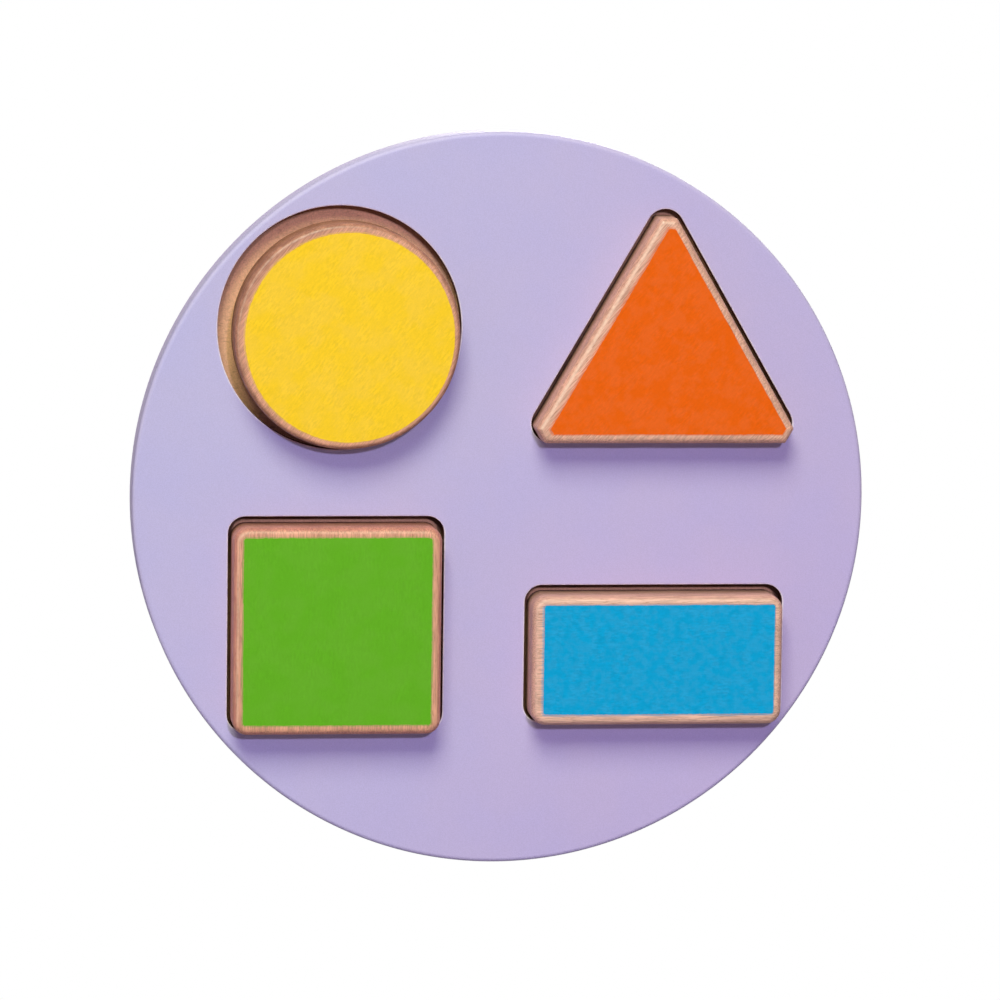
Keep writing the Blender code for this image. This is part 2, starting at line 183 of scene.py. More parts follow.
# Proportions of a screw
NECK = 0.97  # radius below the head, as a share of the shank's
SHANK_START = 0.6  # share of the head's depth at which the shank begins
TIP_OVERLAP = 0.1  # how far inside the shank the tip starts, as a share of the shank's radius
TIP_END = 0.3  # radius of the tip's end, as a share of the shank's
DRIVE_TOP = 0.6  # radii of the cross drive at the top and at its end, as shares of the head's
DRIVE_END = 0.2
DRIVE_BLADES = ((1, 0.24, 0.9), (0.24, 1, 0.9))  # stretch of the two blades that cut it
DRIVE_START = (0, 0, -1e-5)  # just above the head, so that the cut is clean
WELD_DISTANCE = 1e-6  # points that the cuts leave this near each other are joined

# Stage
BACK_LIGHT_PLACE = Vector((0.5, 1.3, 0.7))
FLOOR_RADIUS = 4.0
FLOOR_SIDES = 96
FLOOR_GREY = (0.2, 0.2, 0.2)
FLOOR_SHADOW = (0.35, 1.1)  # distances from the middle between which the floor's soft shadow ends
FLOOR_WHITENESS = 0.88  # share of plain white in the middle
WHITE = (1.0, 1.0, 1.0)
FILL_LEAN = 0.8  # how much more of the light from all round comes from the left than from the right


def linear(red, green, blue):
    """Linear colour of an sRGB colour given from 0 to 255."""
    shares = (red / 255, green / 255, blue / 255)
    return tuple(((share + 0.055) / 1.055) ** 2.4 for share in shares)


def length(name, description, default):
    return FloatProperty(
        name=name, description=description, default=default, min=0.0, precision=5, unit="LENGTH"
    )


def colour(name, description, *levels):
    return FloatVectorProperty(
        name=name, description=description, default=linear(*levels), min=0.0, max=1.0, subtype="COLOR"
    )


def angle(name, description, degrees):
    return FloatProperty(
        name=name, description=description, default=math.radians(degrees), unit="ROTATION", subtype="ANGLE"
    )


def amount(name, description, default, unit="NONE"):
    return FloatProperty(name=name, description=description, default=default, min=0.0, unit=unit)


class PanelSizes(bpy.types.PropertyGroup):
    """Sizes of the lacquered face and of the board behind it."""

    rim_round: length("Rim rounding", "Radius of the face's front edge", 0.0015)
    back_chamfer: length("Back chamfer", "Chamfer along the board's back edge", 0.001)
    pocket_arris: length("Pocket arris", "Radius of the pockets' front edges", 0.0005)
    pocket_corner: length("Pocket corner", "Corner radius of the square and rectangular pockets", 0.006)
    pocket_play: length("Pocket play", "Play on each side of the triangular block", 0.0015)
    # Painted shade: the dark line on a pocket's floor beside its wall
    scorch: length("Scorch", "Width of the dark line where a pocket's floor meets its wall", 0.0021)
    overspray: length("Overspray", "How far the lacquer runs down the pocket walls", 0.0014)
    seat_gap: length("Seat gap", "Gap round the pieces that are let into the board", 0.0003)


class BlockSizes(bpy.types.PropertyGroup):
    """Sizes of the four blocks."""

    edge_round: length("Edge rounding", "Radius of a block's front edge", 0.0025)
    back_chamfer: length("Back chamfer", "Chamfer along a block's back edge", 0.0009)
    # Painted shade on a block's sides above its back edge
    scorch: length("Scorch", "Height of the dark saw marks above a block's back edge", 0.006)
    corner: length("Corner", "Corner radius of the square and rectangular blocks", 0.005)
    tip_cut: length("Tip cut", "Depth of the flat cut at each corner of the triangle", 0.0051)
    tip_ease: length("Tip ease", "Radius where a cut corner meets a side", 0.0012)
    colour_corner: length("Colour corner", "Corner radius of the square's and rectangle's colour", 0.001)
    border: length("Border", "From a block's side to the edge of its colour", 0.00325)
    wander: length("Border wander", "How far the edge of the colour strays", 0.0001)
    stain_depth: length("Stain depth", "Thickness of the coloured layer", 0.0006)
    line_gap: length("Line gap", "Hairline between the colour and the wood", 0.00002)


class FittingSizes(bpy.types.PropertyGroup):
    """Sizes of the hangers, screws and plugs at the back."""

    hanger_corner: length("Hanger corner", "Corner radius of a hanger", 0.003)
    steel_edge: length("Steel edge", "Radius of the rolled edges of a hanger", 0.0003)
    keyhole_head: length("Keyhole head", "Radius of the round end of a keyhole", 0.00475)
    keyhole_slot: length("Keyhole slot", "Width of the narrow end of a keyhole", 0.005)
    keyhole_length: length("Keyhole length", "From the round end's centre to the seat", 0.009)
    keyhole_room: length("Keyhole room", "Depth in front of a hanger for the head of a wall screw", 0.0034)
    keyhole_margin: length("Keyhole margin", "How far that room runs past the keyhole", 0.001)
    plug_chamfer: length("Plug chamfer", "Chamfer on the outer end of a plug", 0.0004)
    plug_swell: length("Plug swell", "How far glue swells a plug beyond its bare radius", 0.0002)
    bore_arris: length("Bore arris", "Broken edge of the bores in the board", 0.0002)
    thread_pitch: length("Thread pitch", "Pitch of the screws", 0.0012)
    thread_height: length("Thread height", "How far the thread stands out of the shank", 0.0002)


class Finishes(bpy.types.PropertyGroup):
    """Colours of the finishes."""

    lilac: colour("Lilac lacquer", "Face and rim of the panel", 193, 181, 216)
    # Paler lacquer along the arrises: thinner lacquer and a painted highlight
    lilac_arris_highlight: colour("Lacquer edge", "Thin lacquer along the edges of the pockets", 250, 238, 246)
    fibreboard: colour("Fibreboard", "Raw board in the pockets and at the back", 226, 172, 133)
    fibre_edge: colour("Fibreboard edge", "Cut walls of the pockets", 104, 66, 48)
    # Colour of the painted shade on a pocket's floor beside its wall and on a block's sides near its foot
    painted_shade_colour: colour("Scorched fibreboard", "Floor of a pocket beside its wall", 62, 36, 26)
    beech: colour("Beech", "Bare wood of the blocks", 217, 156, 123)
    pale_beech: colour("Pale beech", "Paler wood of some blocks", 236, 208, 190)
    beech_pore: colour("Beech pores", "Pores and dark streaks of the bare wood", 158, 100, 72)
    thin_stain: colour("Thin stain", "Pale wood that shows where a stain is thin", 240, 204, 168)
    disc: colour("Disc stain", "Colour of the disc", 250, 204, 38)
    triangle: colour("Triangle stain", "Colour of the triangle", 235, 97, 5)
    square: colour("Square stain", "Colour of the square", 99, 175, 32)
    rectangle: colour("Rectangle stain", "Colour of the rectangle", 4, 161, 208)
    zinc: colour("Zinc", "Hangers and screws", 196, 198, 200)
    nickel: colour("Nickel", "Magnets", 186, 182, 174)


class Studio(bpy.types.PropertyGroup):
    """Camera, lights and floor."""

    azimuth: angle("Azimuth", "Heading of the camera round the panel, to the left if negative", -7.0)
    elevation: angle("Elevation", "Height of the camera above the panel's centre", 7.0)
    roll: angle("Roll", "Turn of the camera about its line of sight", 0.75)
    distance: length("Distance", "From the camera to the face of the panel", 1.919)
    lens: amount("Lens", "Focal length of the camera", 200.0, "CAMERA")
    key_power: amount("Key power", "Power of the large soft light", 82.0, "POWER")
    key_tint: colour("Key tint", "Colour of the large soft light", 243, 255, 220)
    key_tilt: angle("Key tilt", "Angle of the key from the panel's front", 47.5)
    key_turn: angle("Key turn", "How far right of straight up the key stands", -12.0)
    key_size: length("Key size", "Side of the large soft light", 1.4)
    lamp_power: amount("Lamp power", "Power of the small hard light", 36.9, "POWER")
    lamp_tint: colour("Lamp tint", "Colour of the small hard light", 217, 213, 255)
    lamp_tilt: angle("Lamp tilt", "Angle of the small light from the panel's front", 16.5)
    lamp_turn: angle("Lamp turn", "How far right of straight up the small light stands", 12.0)
    lamp_size: length("Lamp size", "Side of the small hard light", 0.14)
    light_distance: length("Light distance", "From the panel to both lights in front of it", 3.0)
    back_power: amount("Back power", "Power of the light behind", 14.0, "POWER")
    back_size: length("Back size", "Side of the light behind", 0.95)
    fill: amount("Fill", "Strength of the light from all round", 0.185)
    fill_tint: colour("Fill tint", "Colour of the light from all round", 232, 182, 255)
    floor_drop: length("Floor drop", "Depth of the floor below the panel's centre", 0.6)


class WallPanelSettings(bpy.types.PropertyGroup):
    """All settings of the wall panel."""

    panel: PointerProperty(type=PanelSizes)
    blocks: PointerProperty(type=BlockSizes)
    fittings: PointerProperty(type=FittingSizes)
    finishes: PointerProperty(type=Finishes)
    studio: PointerProperty(type=Studio)


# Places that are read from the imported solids

def span(node):
    """Middle of a node as (x, z), half its width and height, and the depths of its back and front."""
    low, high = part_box(node)
    middle = Vector(((low.x + high.x) / 2, (low.z + high.z) / 2))
    half = Vector(((high.x - low.x) / 2, (high.z - low.z) / 2))
    return middle, half, -high.y, -low.y


def pocket_span(shape):
    """Middle, half width and half height of a pocket, from the back edge of its window in the face."""
    low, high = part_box(f"{shape}_block")
    _, panel, back, _ = span("face_panel")
    edge = [
        point.co
        for point in frame["nodes"]["face_panel"].data.vertices
        if abs(point.co.y + back) < FLAT_TOLERANCE
        and low.x - POCKET_SEARCH < point.co.x < high.x + POCKET_SEARCH
        and low.z - POCKET_SEARCH < point.co.z < high.z + POCKET_SEARCH
        and math.hypot(point.co.x, point.co.z) < panel.x - RIM_MARGIN
    ]
    xs = [point.x for point in edge]
    zs = [point.z for point in edge]
    middle = Vector(((min(xs) + max(xs)) / 2, (min(zs) + max(zs)) / 2))
    return middle, Vector(((max(xs) - min(xs)) / 2, (max(zs) - min(zs)) / 2))


# Outlines, anticlockwise

def circle(middle, radius, count):
    turns = [2 * math.pi * step / count for step in range(count)]
    return [middle + radius * Vector((math.cos(turn), math.sin(turn))) for turn in turns]


def polar(distance, degrees):
    turn = math.radians(degrees)
    return distance * Vector((math.cos(turn), math.sin(turn)))


def arc(centre, radius, start, sweep, steps):
    turns = [start + sweep * step / steps for step in range(steps + 1)]
    return [centre + radius * Vector((math.cos(turn), math.sin(turn))) for turn in turns]


def rounded_outline(corners, radius, runs):
    """Convex outline with an arc at each corner; runs gives the steps along the side after each corner."""
    arcs = []
    for index, corner in enumerate(corners):
        back = (corners[index - 1] - corner).normalized()
        ahead = (corners[(index + 1) % len(corners)] - corner).normalized()
        inside = back.angle(ahead)
        inwards = (back + ahead).normalized()
        centre = corner + inwards * radius / math.sin(inside / 2)
        sweep = math.pi - inside
        start = math.atan2(-inwards.y, -inwards.x) - sweep / 2
        arcs.append(arc(centre, radius, start, sweep, ARC_STEPS))
    outline = []
    for index, points in enumerate(arcs):
        outline.extend(points)
        ahead = arcs[(index + 1) % len(arcs)][0]
        outline.extend(points[-1].lerp(ahead, step / runs[index]) for step in range(1, runs[index]))
    return outline


def run_steps(distance):
    return max(2, round(distance / POINT_SPACING))


def rounded_rectangle(middle, half, corner, grow=0.0):
    runs = [run_steps(2 * half.y), run_steps(2 * half.x)] * 2
    wide = half.x + grow
    high = half.y + grow
    corners = [Vector(spot) for spot in ((wide, -high), (wide, high), (-wide, high), (-wide, -high))]
    return [middle + point for point in rounded_outline(corners, corner + grow, runs)]


def stadium(middle, width, height):
    """Upright slot with round ends."""
    radius = width / 2
    rise = Vector((0, height / 2 - radius))
    top = arc(middle + rise, radius, 0, math.pi, 2 * ARC_STEPS)
    return top + arc(middle - rise, radius, math.pi, math.pi, 2 * ARC_STEPS)


def triangle_middle(sizes):
    """Middle of the triangle block and the radius of the circle inside it."""
    middle, half, _, _ = span("triangle_block")
    inradius = (2 * half.y + sizes.tip_cut) / 3
    return Vector((middle.x, middle.y - half.y + inradius)), inradius


def cut_triangle(sizes, grow):
    """Triangle whose corners are cut flat, with the six edges eased."""
    middle, inradius = triangle_middle(sizes)
    cut = (sizes.tip_cut + grow) / math.cos(math.radians(30))
    corners = []
    for heading in TRIANGLE_TIPS:
        tip = polar(2 * (inradius + grow), heading)
        corners.extend(tip + polar(cut, heading + side) for side in (-150, 150))
    side = 2 * inradius * math.sqrt(3)
    runs = [run_steps(sizes.tip_cut), run_steps(side)] * 3
    ease = max(sizes.tip_ease + grow, sizes.line_gap * ARC_STEPS)
    return [middle + point for point in rounded_outline(corners, ease, runs)]


def moved(outline, shift):
    return [point + Vector(shift) for point in outline]


def outwards(outline):
    """Direction away from the inside at each point of an outline."""
    directions = []
    for index in range(len(outline)):
        along = outline[(index + 1) % len(outline)] - outline[index - 1]
        directions.append(Vector((along.y, -along.x)).normalized())
    return directions


def plain_outline(shape, sizes, corner, grow):
    middle, half, _, _ = span(f"{shape}_block")
    if shape == "disc":
        return circle(middle, half.x + grow, run_steps(2 * math.pi * half.x))
    if shape == "triangle":
        return cut_triangle(sizes, grow)
    return rounded_rectangle(middle, half, corner, grow)


def block_outline(shape, sizes, grow=0.0):
    return moved(plain_outline(shape, sizes, sizes.corner, grow), LOOKS[shape].nudge)


def colour_outline(shape, sizes, inset):
    """Outline of the colour, the inset within a block's side."""
    inset -= LOOKS[shape].spread
    return moved(plain_outline(shape, sizes, sizes.colour_corner + inset, -inset), LOOKS[shape].shift)


def block_heart(shape, sizes):
    """Middle of a block and how far its sides lie from there across and up."""
    if shape == "triangle":
        middle, inradius = triangle_middle(sizes)
        return middle, Vector((inradius, inradius))
    middle, half, _, _ = span(f"{shape}_block")
    return middle, half


def pocket_outline(shape, panel, blocks, grow=0.0):
    middle, half = pocket_span(shape)
    if shape == "disc":
        return circle(middle, half.x + grow, run_steps(2 * math.pi * half.x))
    if shape == "triangle":
        inradius = triangle_middle(blocks)[1] + panel.pocket_play
        corner = 3 * inradius - 2 * half.y
        heart = Vector((middle.x, middle.y - half.y + inradius))
        tips = [polar(2 * (inradius + grow), heading) for heading in TRIANGLE_TIPS]
        runs = [run_steps(2 * half.x)] * 3
        return [heart + point for point in rounded_outline(tips, corner + grow, runs)]
    return rounded_rectangle(middle, half, panel.pocket_corner, grow)


def keyhole_outline(middle, sizes, grow=0.0):
    """Round hole with a narrower slot above it that ends in a round seat."""
    head = middle - Vector((0, sizes.keyhole_length / 2))
    seat = middle + Vector((0, sizes.keyhole_length / 2))
    radius = sizes.keyhole_head + grow
    slot = sizes.keyhole_slot / 2 + grow
    neck = math.asin(slot / radius)
    round_end = arc(head, radius, math.pi / 2 + neck, 2 * math.pi - 2 * neck, 4 * ARC_STEPS)
    return arc(seat, slot, 0, math.pi, 2 * ARC_STEPS) + round_end


# Meshes

class Shell:
    """Closed mesh of walls between rings and flat floors inside them, with named values on its points."""

    def __init__(self, *layers):
        self.form = bmesh.new()
        self.layers = {name: self.form.verts.layers.float.new(name) for name in layers}

    def point(self, x, depth, z, values):
        point = self.form.verts.new((x, -depth, z))
        for name, value in values.items():
            point[self.layers[name]] = value
        return point

    def ring(self, outline, depth, **values):
        return [self.point(x, depth, z, values) for x, z in outline]

    def turned(self, spot, steps, **values):
        """Round rings about a spot, one for each radius and depth."""
        return [self.ring(circle(spot, radius, BORE_POINTS), depth, **values) for radius, depth in steps]

    def wall(self, *rings):
        for near, far in zip(rings, rings[1:]):
            for index in range(len(near)):
                self.form.faces.new((near[index - 1], near[index], far[index], far[index - 1]))

    def floor(self, outer, *holes):
        """Flat face inside the outer ring and outside the holes, which all lie at one depth."""
        points = []
        loops = []
        for ring in (outer, *holes):
            loops.append(list(range(len(points), len(points) + len(ring))))
            points.extend(ring)
        spots = [Vector((point.co.x, point.co.z)) for point in points]
        _, _, faces, origins, _, _ = delaunay_2d_cdt(spots, [], loops, FILL_WITH_HOLES, FILL_NEARNESS)
        for face in faces:
            self.form.faces.new([points[origins[index][0]] for index in face])

    def cup(self, rings):
        """Wall through the rings with a floor in the last one; returns the first, which stays open."""
        self.wall(*rings)
        self.floor(rings[-1])
        return rings[0]

    def piece(self, name):
        bmesh.ops.recalc_face_normals(self.form, faces=self.form.faces)
        mesh = bpy.data.meshes.new(name)
        self.form.to_mesh(mesh)
        self.form.free()
        return add_object(name, mesh)


def place_in_scene(name, data):
    thing = bpy.data.objects.new(name, data)
    bpy.context.scene.collection.objects.link(thing)
    return thing


def add_object(name, mesh):
    mesh.shade_smooth()
    mesh.set_sharp_from_angle(angle=SMOOTH_ANGLE)
    return place_in_scene(name, mesh)


def dress(piece, material, body, slot, *nodes):
    """Give a piece its material, set it on its body and let it stand for its nodes."""
    piece.data.materials.clear()
    piece.data.materials.append(material)
    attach(piece, body)
    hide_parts(*nodes)


def quarter_round(radius):
    """Inset, drop below the front and sharpness of each step round an edge, from the side to the front."""
    for step in range(ROUND_STEPS + 1):
        turn = math.pi / 2 * step / ROUND_STEPS
        yield radius * (1 - math.cos(turn)), radius * (1 - math.sin(turn)), math.sin(2 * turn)


def pocket_window(shell, shape, panel, blocks, back, front):
    """Walls of a pocket in the face; returns their edges at the back and the front."""
    arris = panel.pocket_arris
    rings = [shell.ring(pocket_outline(shape, panel, blocks, arris + SUPPORT), front)]
    for inset, drop, sharp in reversed(list(quarter_round(arris))):
        rings.append(shell.ring(pocket_outline(shape, panel, blocks, inset), front - drop, edge=sharp))
    plain = pocket_outline(shape, panel, blocks)
    for depth in (front - arris - panel.overspray, back):
        rings.append(shell.ring(plain, depth, bare=1.0))
    shell.wall(*rings)
    return rings[-1], rings[0]


def build_face_panel(panel, blocks):
    """Sheet with a rounded rim, the four windows of the pockets and blind holes for the board's screws."""
    middle, half, back, front = span("face_panel")
    shell = Shell("edge", "bare")
    rim = [shell.ring(circle(middle, half.x, PANEL_POINTS), back)]
    for inset, drop, sharp in quarter_round(panel.rim_round):
        outline = circle(middle, half.x - inset, PANEL_POINTS)
        rim.append(shell.ring(outline, front - drop, edge=RIM_HIGHLIGHT * sharp))
    rim.append(shell.ring(circle(middle, half.x - panel.rim_round - SUPPORT, PANEL_POINTS), front))
    shell.wall(*rim)
    windows = [pocket_window(shell, shape, panel, blocks, back, front) for shape in SHAPES]
    pilots = []
    for node in BOARD_SCREWS:
        spot, screw, _, tip = span(node)
        radius = screw.x / 2 + panel.seat_gap
        steps = [(radius, back), (radius, tip + panel.seat_gap)]
        pilots.append(shell.cup(shell.turned(spot, steps, bare=1.0)))
    shell.floor(rim[-1], *[near for _, near in windows])
    shell.floor(rim[0], *[far for far, _ in windows], *pilots)
    return shell.piece("face_lacquered")


def magnet_bore(shell, shape, gap, arris, back):
    """Bore from the board's back for a magnet and its plug; returns its edge."""
    spot, magnet, _, front = span(f"{shape}_board_magnet")
    radius = magnet.x + gap
    steps = [(radius + arris, back), (radius, back + arris), (radius, front + gap)]
    return shell.cup(shell.turned(spot, steps, bare=1.0))


def screw_bore(shell, node, gap, back, front):
    """Countersunk hole right through the board; returns its edges at the back and the front."""
    spot, head, screw_back, _ = span(node)
    wide = head.x + gap
    shank = head.x / 2 + gap
    steps = [(wide, back), (wide, screw_back), (shank, screw_back + head.x / 2), (shank, front)]
    rings = shell.turned(spot, steps, bare=1.0)
    shell.wall(*rings)
    return rings[0], rings[-1]


def hanger_recess(shell, side, panel, fittings, back):
    """Routed seat of a hanger with the deeper room for the wall screw's head; returns its edge."""
    middle, half, _, plate_front = span(f"{side}_hanger")
    gap = panel.seat_gap
    floor = plate_front + gap
    seat = rounded_rectangle(middle, half, fittings.hanger_corner, gap)
    rings = [shell.ring(seat, depth, bare=1.0) for depth in (back, floor)]
    shell.wall(*rings)
    width = 2 * (fittings.keyhole_head + fittings.keyhole_margin)
    room = stadium(middle, width, fittings.keyhole_length + width)
    depths = (floor, floor + fittings.keyhole_room)
    holes = [shell.cup([shell.ring(room, depth, bare=1.0) for depth in depths])]
    for end in ENDS:
        spot, head, _, tip = span(f"{side}_hanger_screw_{end}")
        radius = head.x / 2 + gap
        holes.append(shell.cup(shell.turned(spot, [(radius, floor), (radius, tip + gap)], bare=1.0)))
    shell.floor(rings[-1], *holes)
    return rings[0]


def pocket_floor(shell, shape, panel, blocks, front):
    """Floor of a pocket with painted shade along its wall, strongest below its top edge; returns its edge.
    """
    heart = pocket_span(shape)[0]
    aside, above = LOOKS[shape].scorch
    rings = []
    for share, strength in PAINTED_SHADE_FADE:
        ring = []
        for spot in pocket_outline(shape, panel, blocks, -panel.scorch * share):
            # Painted shade, strongest below the pocket's top edge, where light from above leaves the floor
            # dark
            up = max(0.0, (spot - heart).normalized().y)
            values = {"bare": 1.0, "scorch": strength * (aside + (above - aside) * up)}
            ring.append(shell.point(spot.x, front, spot.y, values))
        rings.append(ring)
    return shell.cup(rings)


def build_back_board(panel, blocks, fittings):
    """Raw board with the floors of the pockets at the front and all that is let in at the back."""
    middle, half, back, front = span("back_board")
    gap = panel.seat_gap
    shell = Shell("bare", "scorch")
    inner = half.x - panel.back_chamfer
    steps = [  # radius, depth, and 1 where no lacquer was sprayed
        (inner - SUPPORT, back, 1.0),
        (inner, back, 0.6),
        (half.x, back + panel.back_chamfer, 0.0),
        (half.x, front, 0.0),
        (half.x - SUPPORT, front, 1.0),
    ]
    rim = [shell.ring(circle(middle, wide, PANEL_POINTS), depth, bare=bare) for wide, depth, bare in steps]
    shell.wall(*rim)
    magnets = [magnet_bore(shell, shape, gap, fittings.bore_arris, back) for shape in SHAPES]
    screws = [screw_bore(shell, node, gap, back, front) for node in BOARD_SCREWS]
    hangers = [hanger_recess(shell, side, panel, fittings, back) for side in SIDES]
    pockets = [pocket_floor(shell, shape, panel, blocks, front) for shape in SHAPES]
    shell.floor(rim[0], *magnets, *[far for far, _ in screws], *hangers)
    shell.floor(rim[-1], *[near for _, near in screws], *pockets)
    return shell.piece("board_routed")


def colour_border(shape, sizes):
    """Edge of the colour on a block's front, which strays a little as sanding leaves it."""
    near = colour_outline(shape, sizes, sizes.border - sizes.wander)
    far = colour_outline(shape, sizes, sizes.border + sizes.wander)
    border = []
    for first, last in zip(near, far):
        wave = noise.noise((first.x * BORDER_WAVES, 0, first.y * BORDER_WAVES))
        border.append(first.lerp(last, 0.5 + 0.5 * wave))
    return border


def side_rings(shell, side, look, height, foot):
    """Rings up a block's side from its foot, with painted shade up to about the height."""
    away = outwards(side)
    rings = []
    for share in FOOT_SHADE_RINGS:
        ring = []
        for spot, heading in zip(side, away):
            up = max(0.0, heading.y)
            # Painted shade near the foot, reaching higher on upward sides
            scorch = max(0.0, 1 - share / (1 + FOOT_SHADE_RISE * up)) ** FOOT_SHADE_FADE
            values = {"border": 1.0, "side": 1.0, "scorch": scorch * (1 - look.clean * up)}
            ring.append(shell.point(spot.x, foot + height * share, spot.y, values))
        rings.append(ring)
    return rings


def edge_rings(shell, side, top, look, sizes, front):
    """Rings over a block's rounded front edge, sanded a little unevenly, with a painted highlight strongest
    on one side and the sides' darker tone, partly painted shade, running onto it.
    """
    radius = sizes.edge_round * look.rounding
    away = outwards(side)
    rings = []
    for inset, drop, _ in quarter_round(radius):
        share = inset / radius
        ridge = max(0.0, 1 - abs(share - RIDGE_PLACE) / RIDGE_WIDTH)
        ring = []
        for outer, inner, heading in zip(side, top, away):
            uneven = 1 + SANDING * noise.noise((outer.x * SANDING_WAVES, 1, outer.y * SANDING_WAVES))
            spot = outer.lerp(inner, min(1.0, share * uneven))
            # Painted highlight on the ridge, strongest on the side towards the light
            wear_and_sheen = max(LEAST_HIGHLIGHT, heading.dot(HIGHLIGHT_HEADING))
            # Darker sides, partly painted shade, running further onto the rounding on the sides that face
            # its shade heading
            turned = look.turned + max(0.0, heading.dot(look.shade_heading))
            sawn_and_shaded = min(1.0, max(0.0, (turned - share) / look.fade))
            values = {"edge": ridge * wear_and_sheen, "side": sawn_and_shaded, "border": (sizes.border - inset) * MILLIMETRES}
            ring.append(shell.point(spot.x, front - drop * uneven, spot.y, values))
        rings.append(ring)
    return rings


def build_block(shape, sizes):
    """Bare block with a sanded front edge, a shallow seat for the colour and a bore for its magnet."""
    _, _, back, front = span(f"{shape}_block")
    look = LOOKS[shape]
    side = block_outline(shape, sizes)
    top = block_outline(shape, sizes, -sizes.edge_round * look.rounding)
    shell = Shell("edge", "side", "border", "scorch")
    rings = [shell.ring(block_outline(shape, sizes, -sizes.back_chamfer), back, border=1.0)]
    rings += side_rings(shell, side, look, sizes.scorch, back + sizes.back_chamfer)
    rings += edge_rings(shell, side, top, look, sizes, front)
    border = colour_border(shape, sizes)
    rings += [shell.ring(border, depth) for depth in (front, front - sizes.stain_depth)]
    foot = shell.cup(rings)
    spot, magnet, _, magnet_front = span(f"{shape}_block_magnet")
    gap = span(f"{shape}_block_plug")[2] - back
    radius = magnet.x + gap
    steps = [(radius, back), (radius, magnet_front + gap)]
    shell.floor(foot, shell.cup(shell.turned(spot, steps, border=1.0)))
    return shell.piece(f"{shape}_wood")


def build_stain(shape, sizes):
    """Coloured layer on a block's front, in rings that run in from its edge."""
    front = span(f"{shape}_block")[3]
    middle, half = block_heart(shape, sizes)
    middle = middle + Vector(LOOKS[shape].shift)
    border = [point - middle for point in colour_border(shape, sizes)]
    reach = Vector((half.x - sizes.border, half.y - sizes.border))

    def shrunk(inset):
        wide = 1 - inset / reach.x
        high = 1 - inset / reach.y
        return [middle + Vector((point.x * wide, point.y * high)) for point in border]

    shell = Shell("border")
    gap = sizes.line_gap
    rings = [shell.ring(shrunk(gap), depth) for depth in (front - sizes.stain_depth + gap, front - 2 * gap)]
    for inset in STAIN_INSETS:
        rings.append(shell.ring(shrunk(gap + inset), front, border=inset * MILLIMETRES))
    shell.floor(shell.cup(rings))
    return shell.piece(f"{shape}_colour")


def build_plug(node, name, sizes):
    """Turned wooden plug whose outer end is chamfered."""
    spot, half, back, front = span(node)
    radius = half.x + sizes.plug_swell
    chamfer = sizes.plug_chamfer
    shell = Shell("edge")
    steps = [  # radius, distance from the outer end, and 1 on the edge
        (radius / 2, 0.0, 0.0),
        (radius - chamfer - SUPPORT, 0.0, 0.0),
        (radius - chamfer, PLUG_CROWN, 0.5),
        (radius, chamfer, 1.0),
        (radius, front - back, 0.0),
    ]
    rings = []
    for wide, depth, edge in steps:
        rings.append(shell.ring(circle(spot, wide, BORE_POINTS), back + depth, edge=edge))
    shell.floor(shell.cup(rings))
    return shell.piece(name)


def build_hanger(side, sizes, gap):
    """Stamped keyhole plate with rolled edges and two countersunk holes."""
    middle, half, back, front = span(f"{side}_hanger")
    roll = sizes.steel_edge
    shell = Shell("edge")

    def rolled(outline):
        """Edges of a wall that is rolled over at the back; outline takes how far it is cut back there."""
        rings = [shell.ring(outline(roll + SUPPORT), back)]
        for inset, drop, sharp in reversed(list(quarter_round(roll))):
            rings.append(shell.ring(outline(inset), back + drop, edge=sharp))
        rings.append(shell.ring(outline(0.0), front))
        shell.wall(*rings)
        return rings[0], rings[-1]

    plate = rolled(lambda cut: rounded_rectangle(middle, half, sizes.hanger_corner, -cut))
    holes = [rolled(lambda cut: keyhole_outline(middle, sizes, cut))]
    for end in ENDS:
        spot, head, _, _ = span(f"{side}_hanger_screw_{end}")
        wide = head.x + gap
        shank = head.x / 2 + gap
        steps = [(wide + SUPPORT, back), (wide, back + SUPPORT), (shank, back + head.x / 2), (shank, front)]
        rings = shell.turned(spot, steps)
        shell.wall(*rings)
        holes.append((rings[0], rings[-1]))
    shell.floor(plate[0], *[far for far, _ in holes])
    shell.floor(plate[1], *[near for _, near in holes])
    return shell.piece(f"{side}_keyhole_plate")


# Node trees

class NodeGraph:
    """Short way to write a node tree: each call adds a node and returns one of its outputs."""

    def __init__(self, tree):
        self.tree = tree

    def add(self, kind, inputs, out=0, **settings):
        node = self.tree.nodes.new(kind)
        for name, value in settings.items():
            setattr(node, name, value)
        for name, value in inputs.items():
            for each in value if isinstance(value, list) else [value]:
                self.feed(node.inputs[name], each)
        return node.outputs[out]

    def feed(self, socket, value):
        if isinstance(value, bpy.types.NodeSocket):
            self.tree.links.new(value, socket)
        elif socket.type == "RGBA":
            socket.default_value = (*value[:3], 1.0)
        else:
            socket.default_value = value

    def math(self, operation, first, second):
        return self.add("ShaderNodeMath", {0: first, 1: second}, operation=operation)

    def plus(self, first, second):
        return self.math("ADD", first, second)

    def minus(self, first, second):
        return self.math("SUBTRACT", first, second)

    def times(self, first, second):
        return self.math("MULTIPLY", first, second)


# Screws, as geometry nodes

class GeometryGraph(NodeGraph):
    """Short way to write a geometry tree."""

    def cone(self, sides, bottom, top, depth, rise=0.0):
        sizes = {"Vertices": sides, "Radius Bottom": bottom, "Radius Top": top, "Depth": depth}
        return self.raised(self.add("GeometryNodeMeshCone", sizes), rise)

    def raised(self, shape, rise):
        lift = self.add("ShaderNodeCombineXYZ", {"Z": rise})
        return self.add("GeometryNodeTransform", {"Geometry": shape, "Translation": lift})

    def combine(self, operation, inputs):
        return self.add("GeometryNodeMeshBoolean", inputs, operation=operation, solver="EXACT")


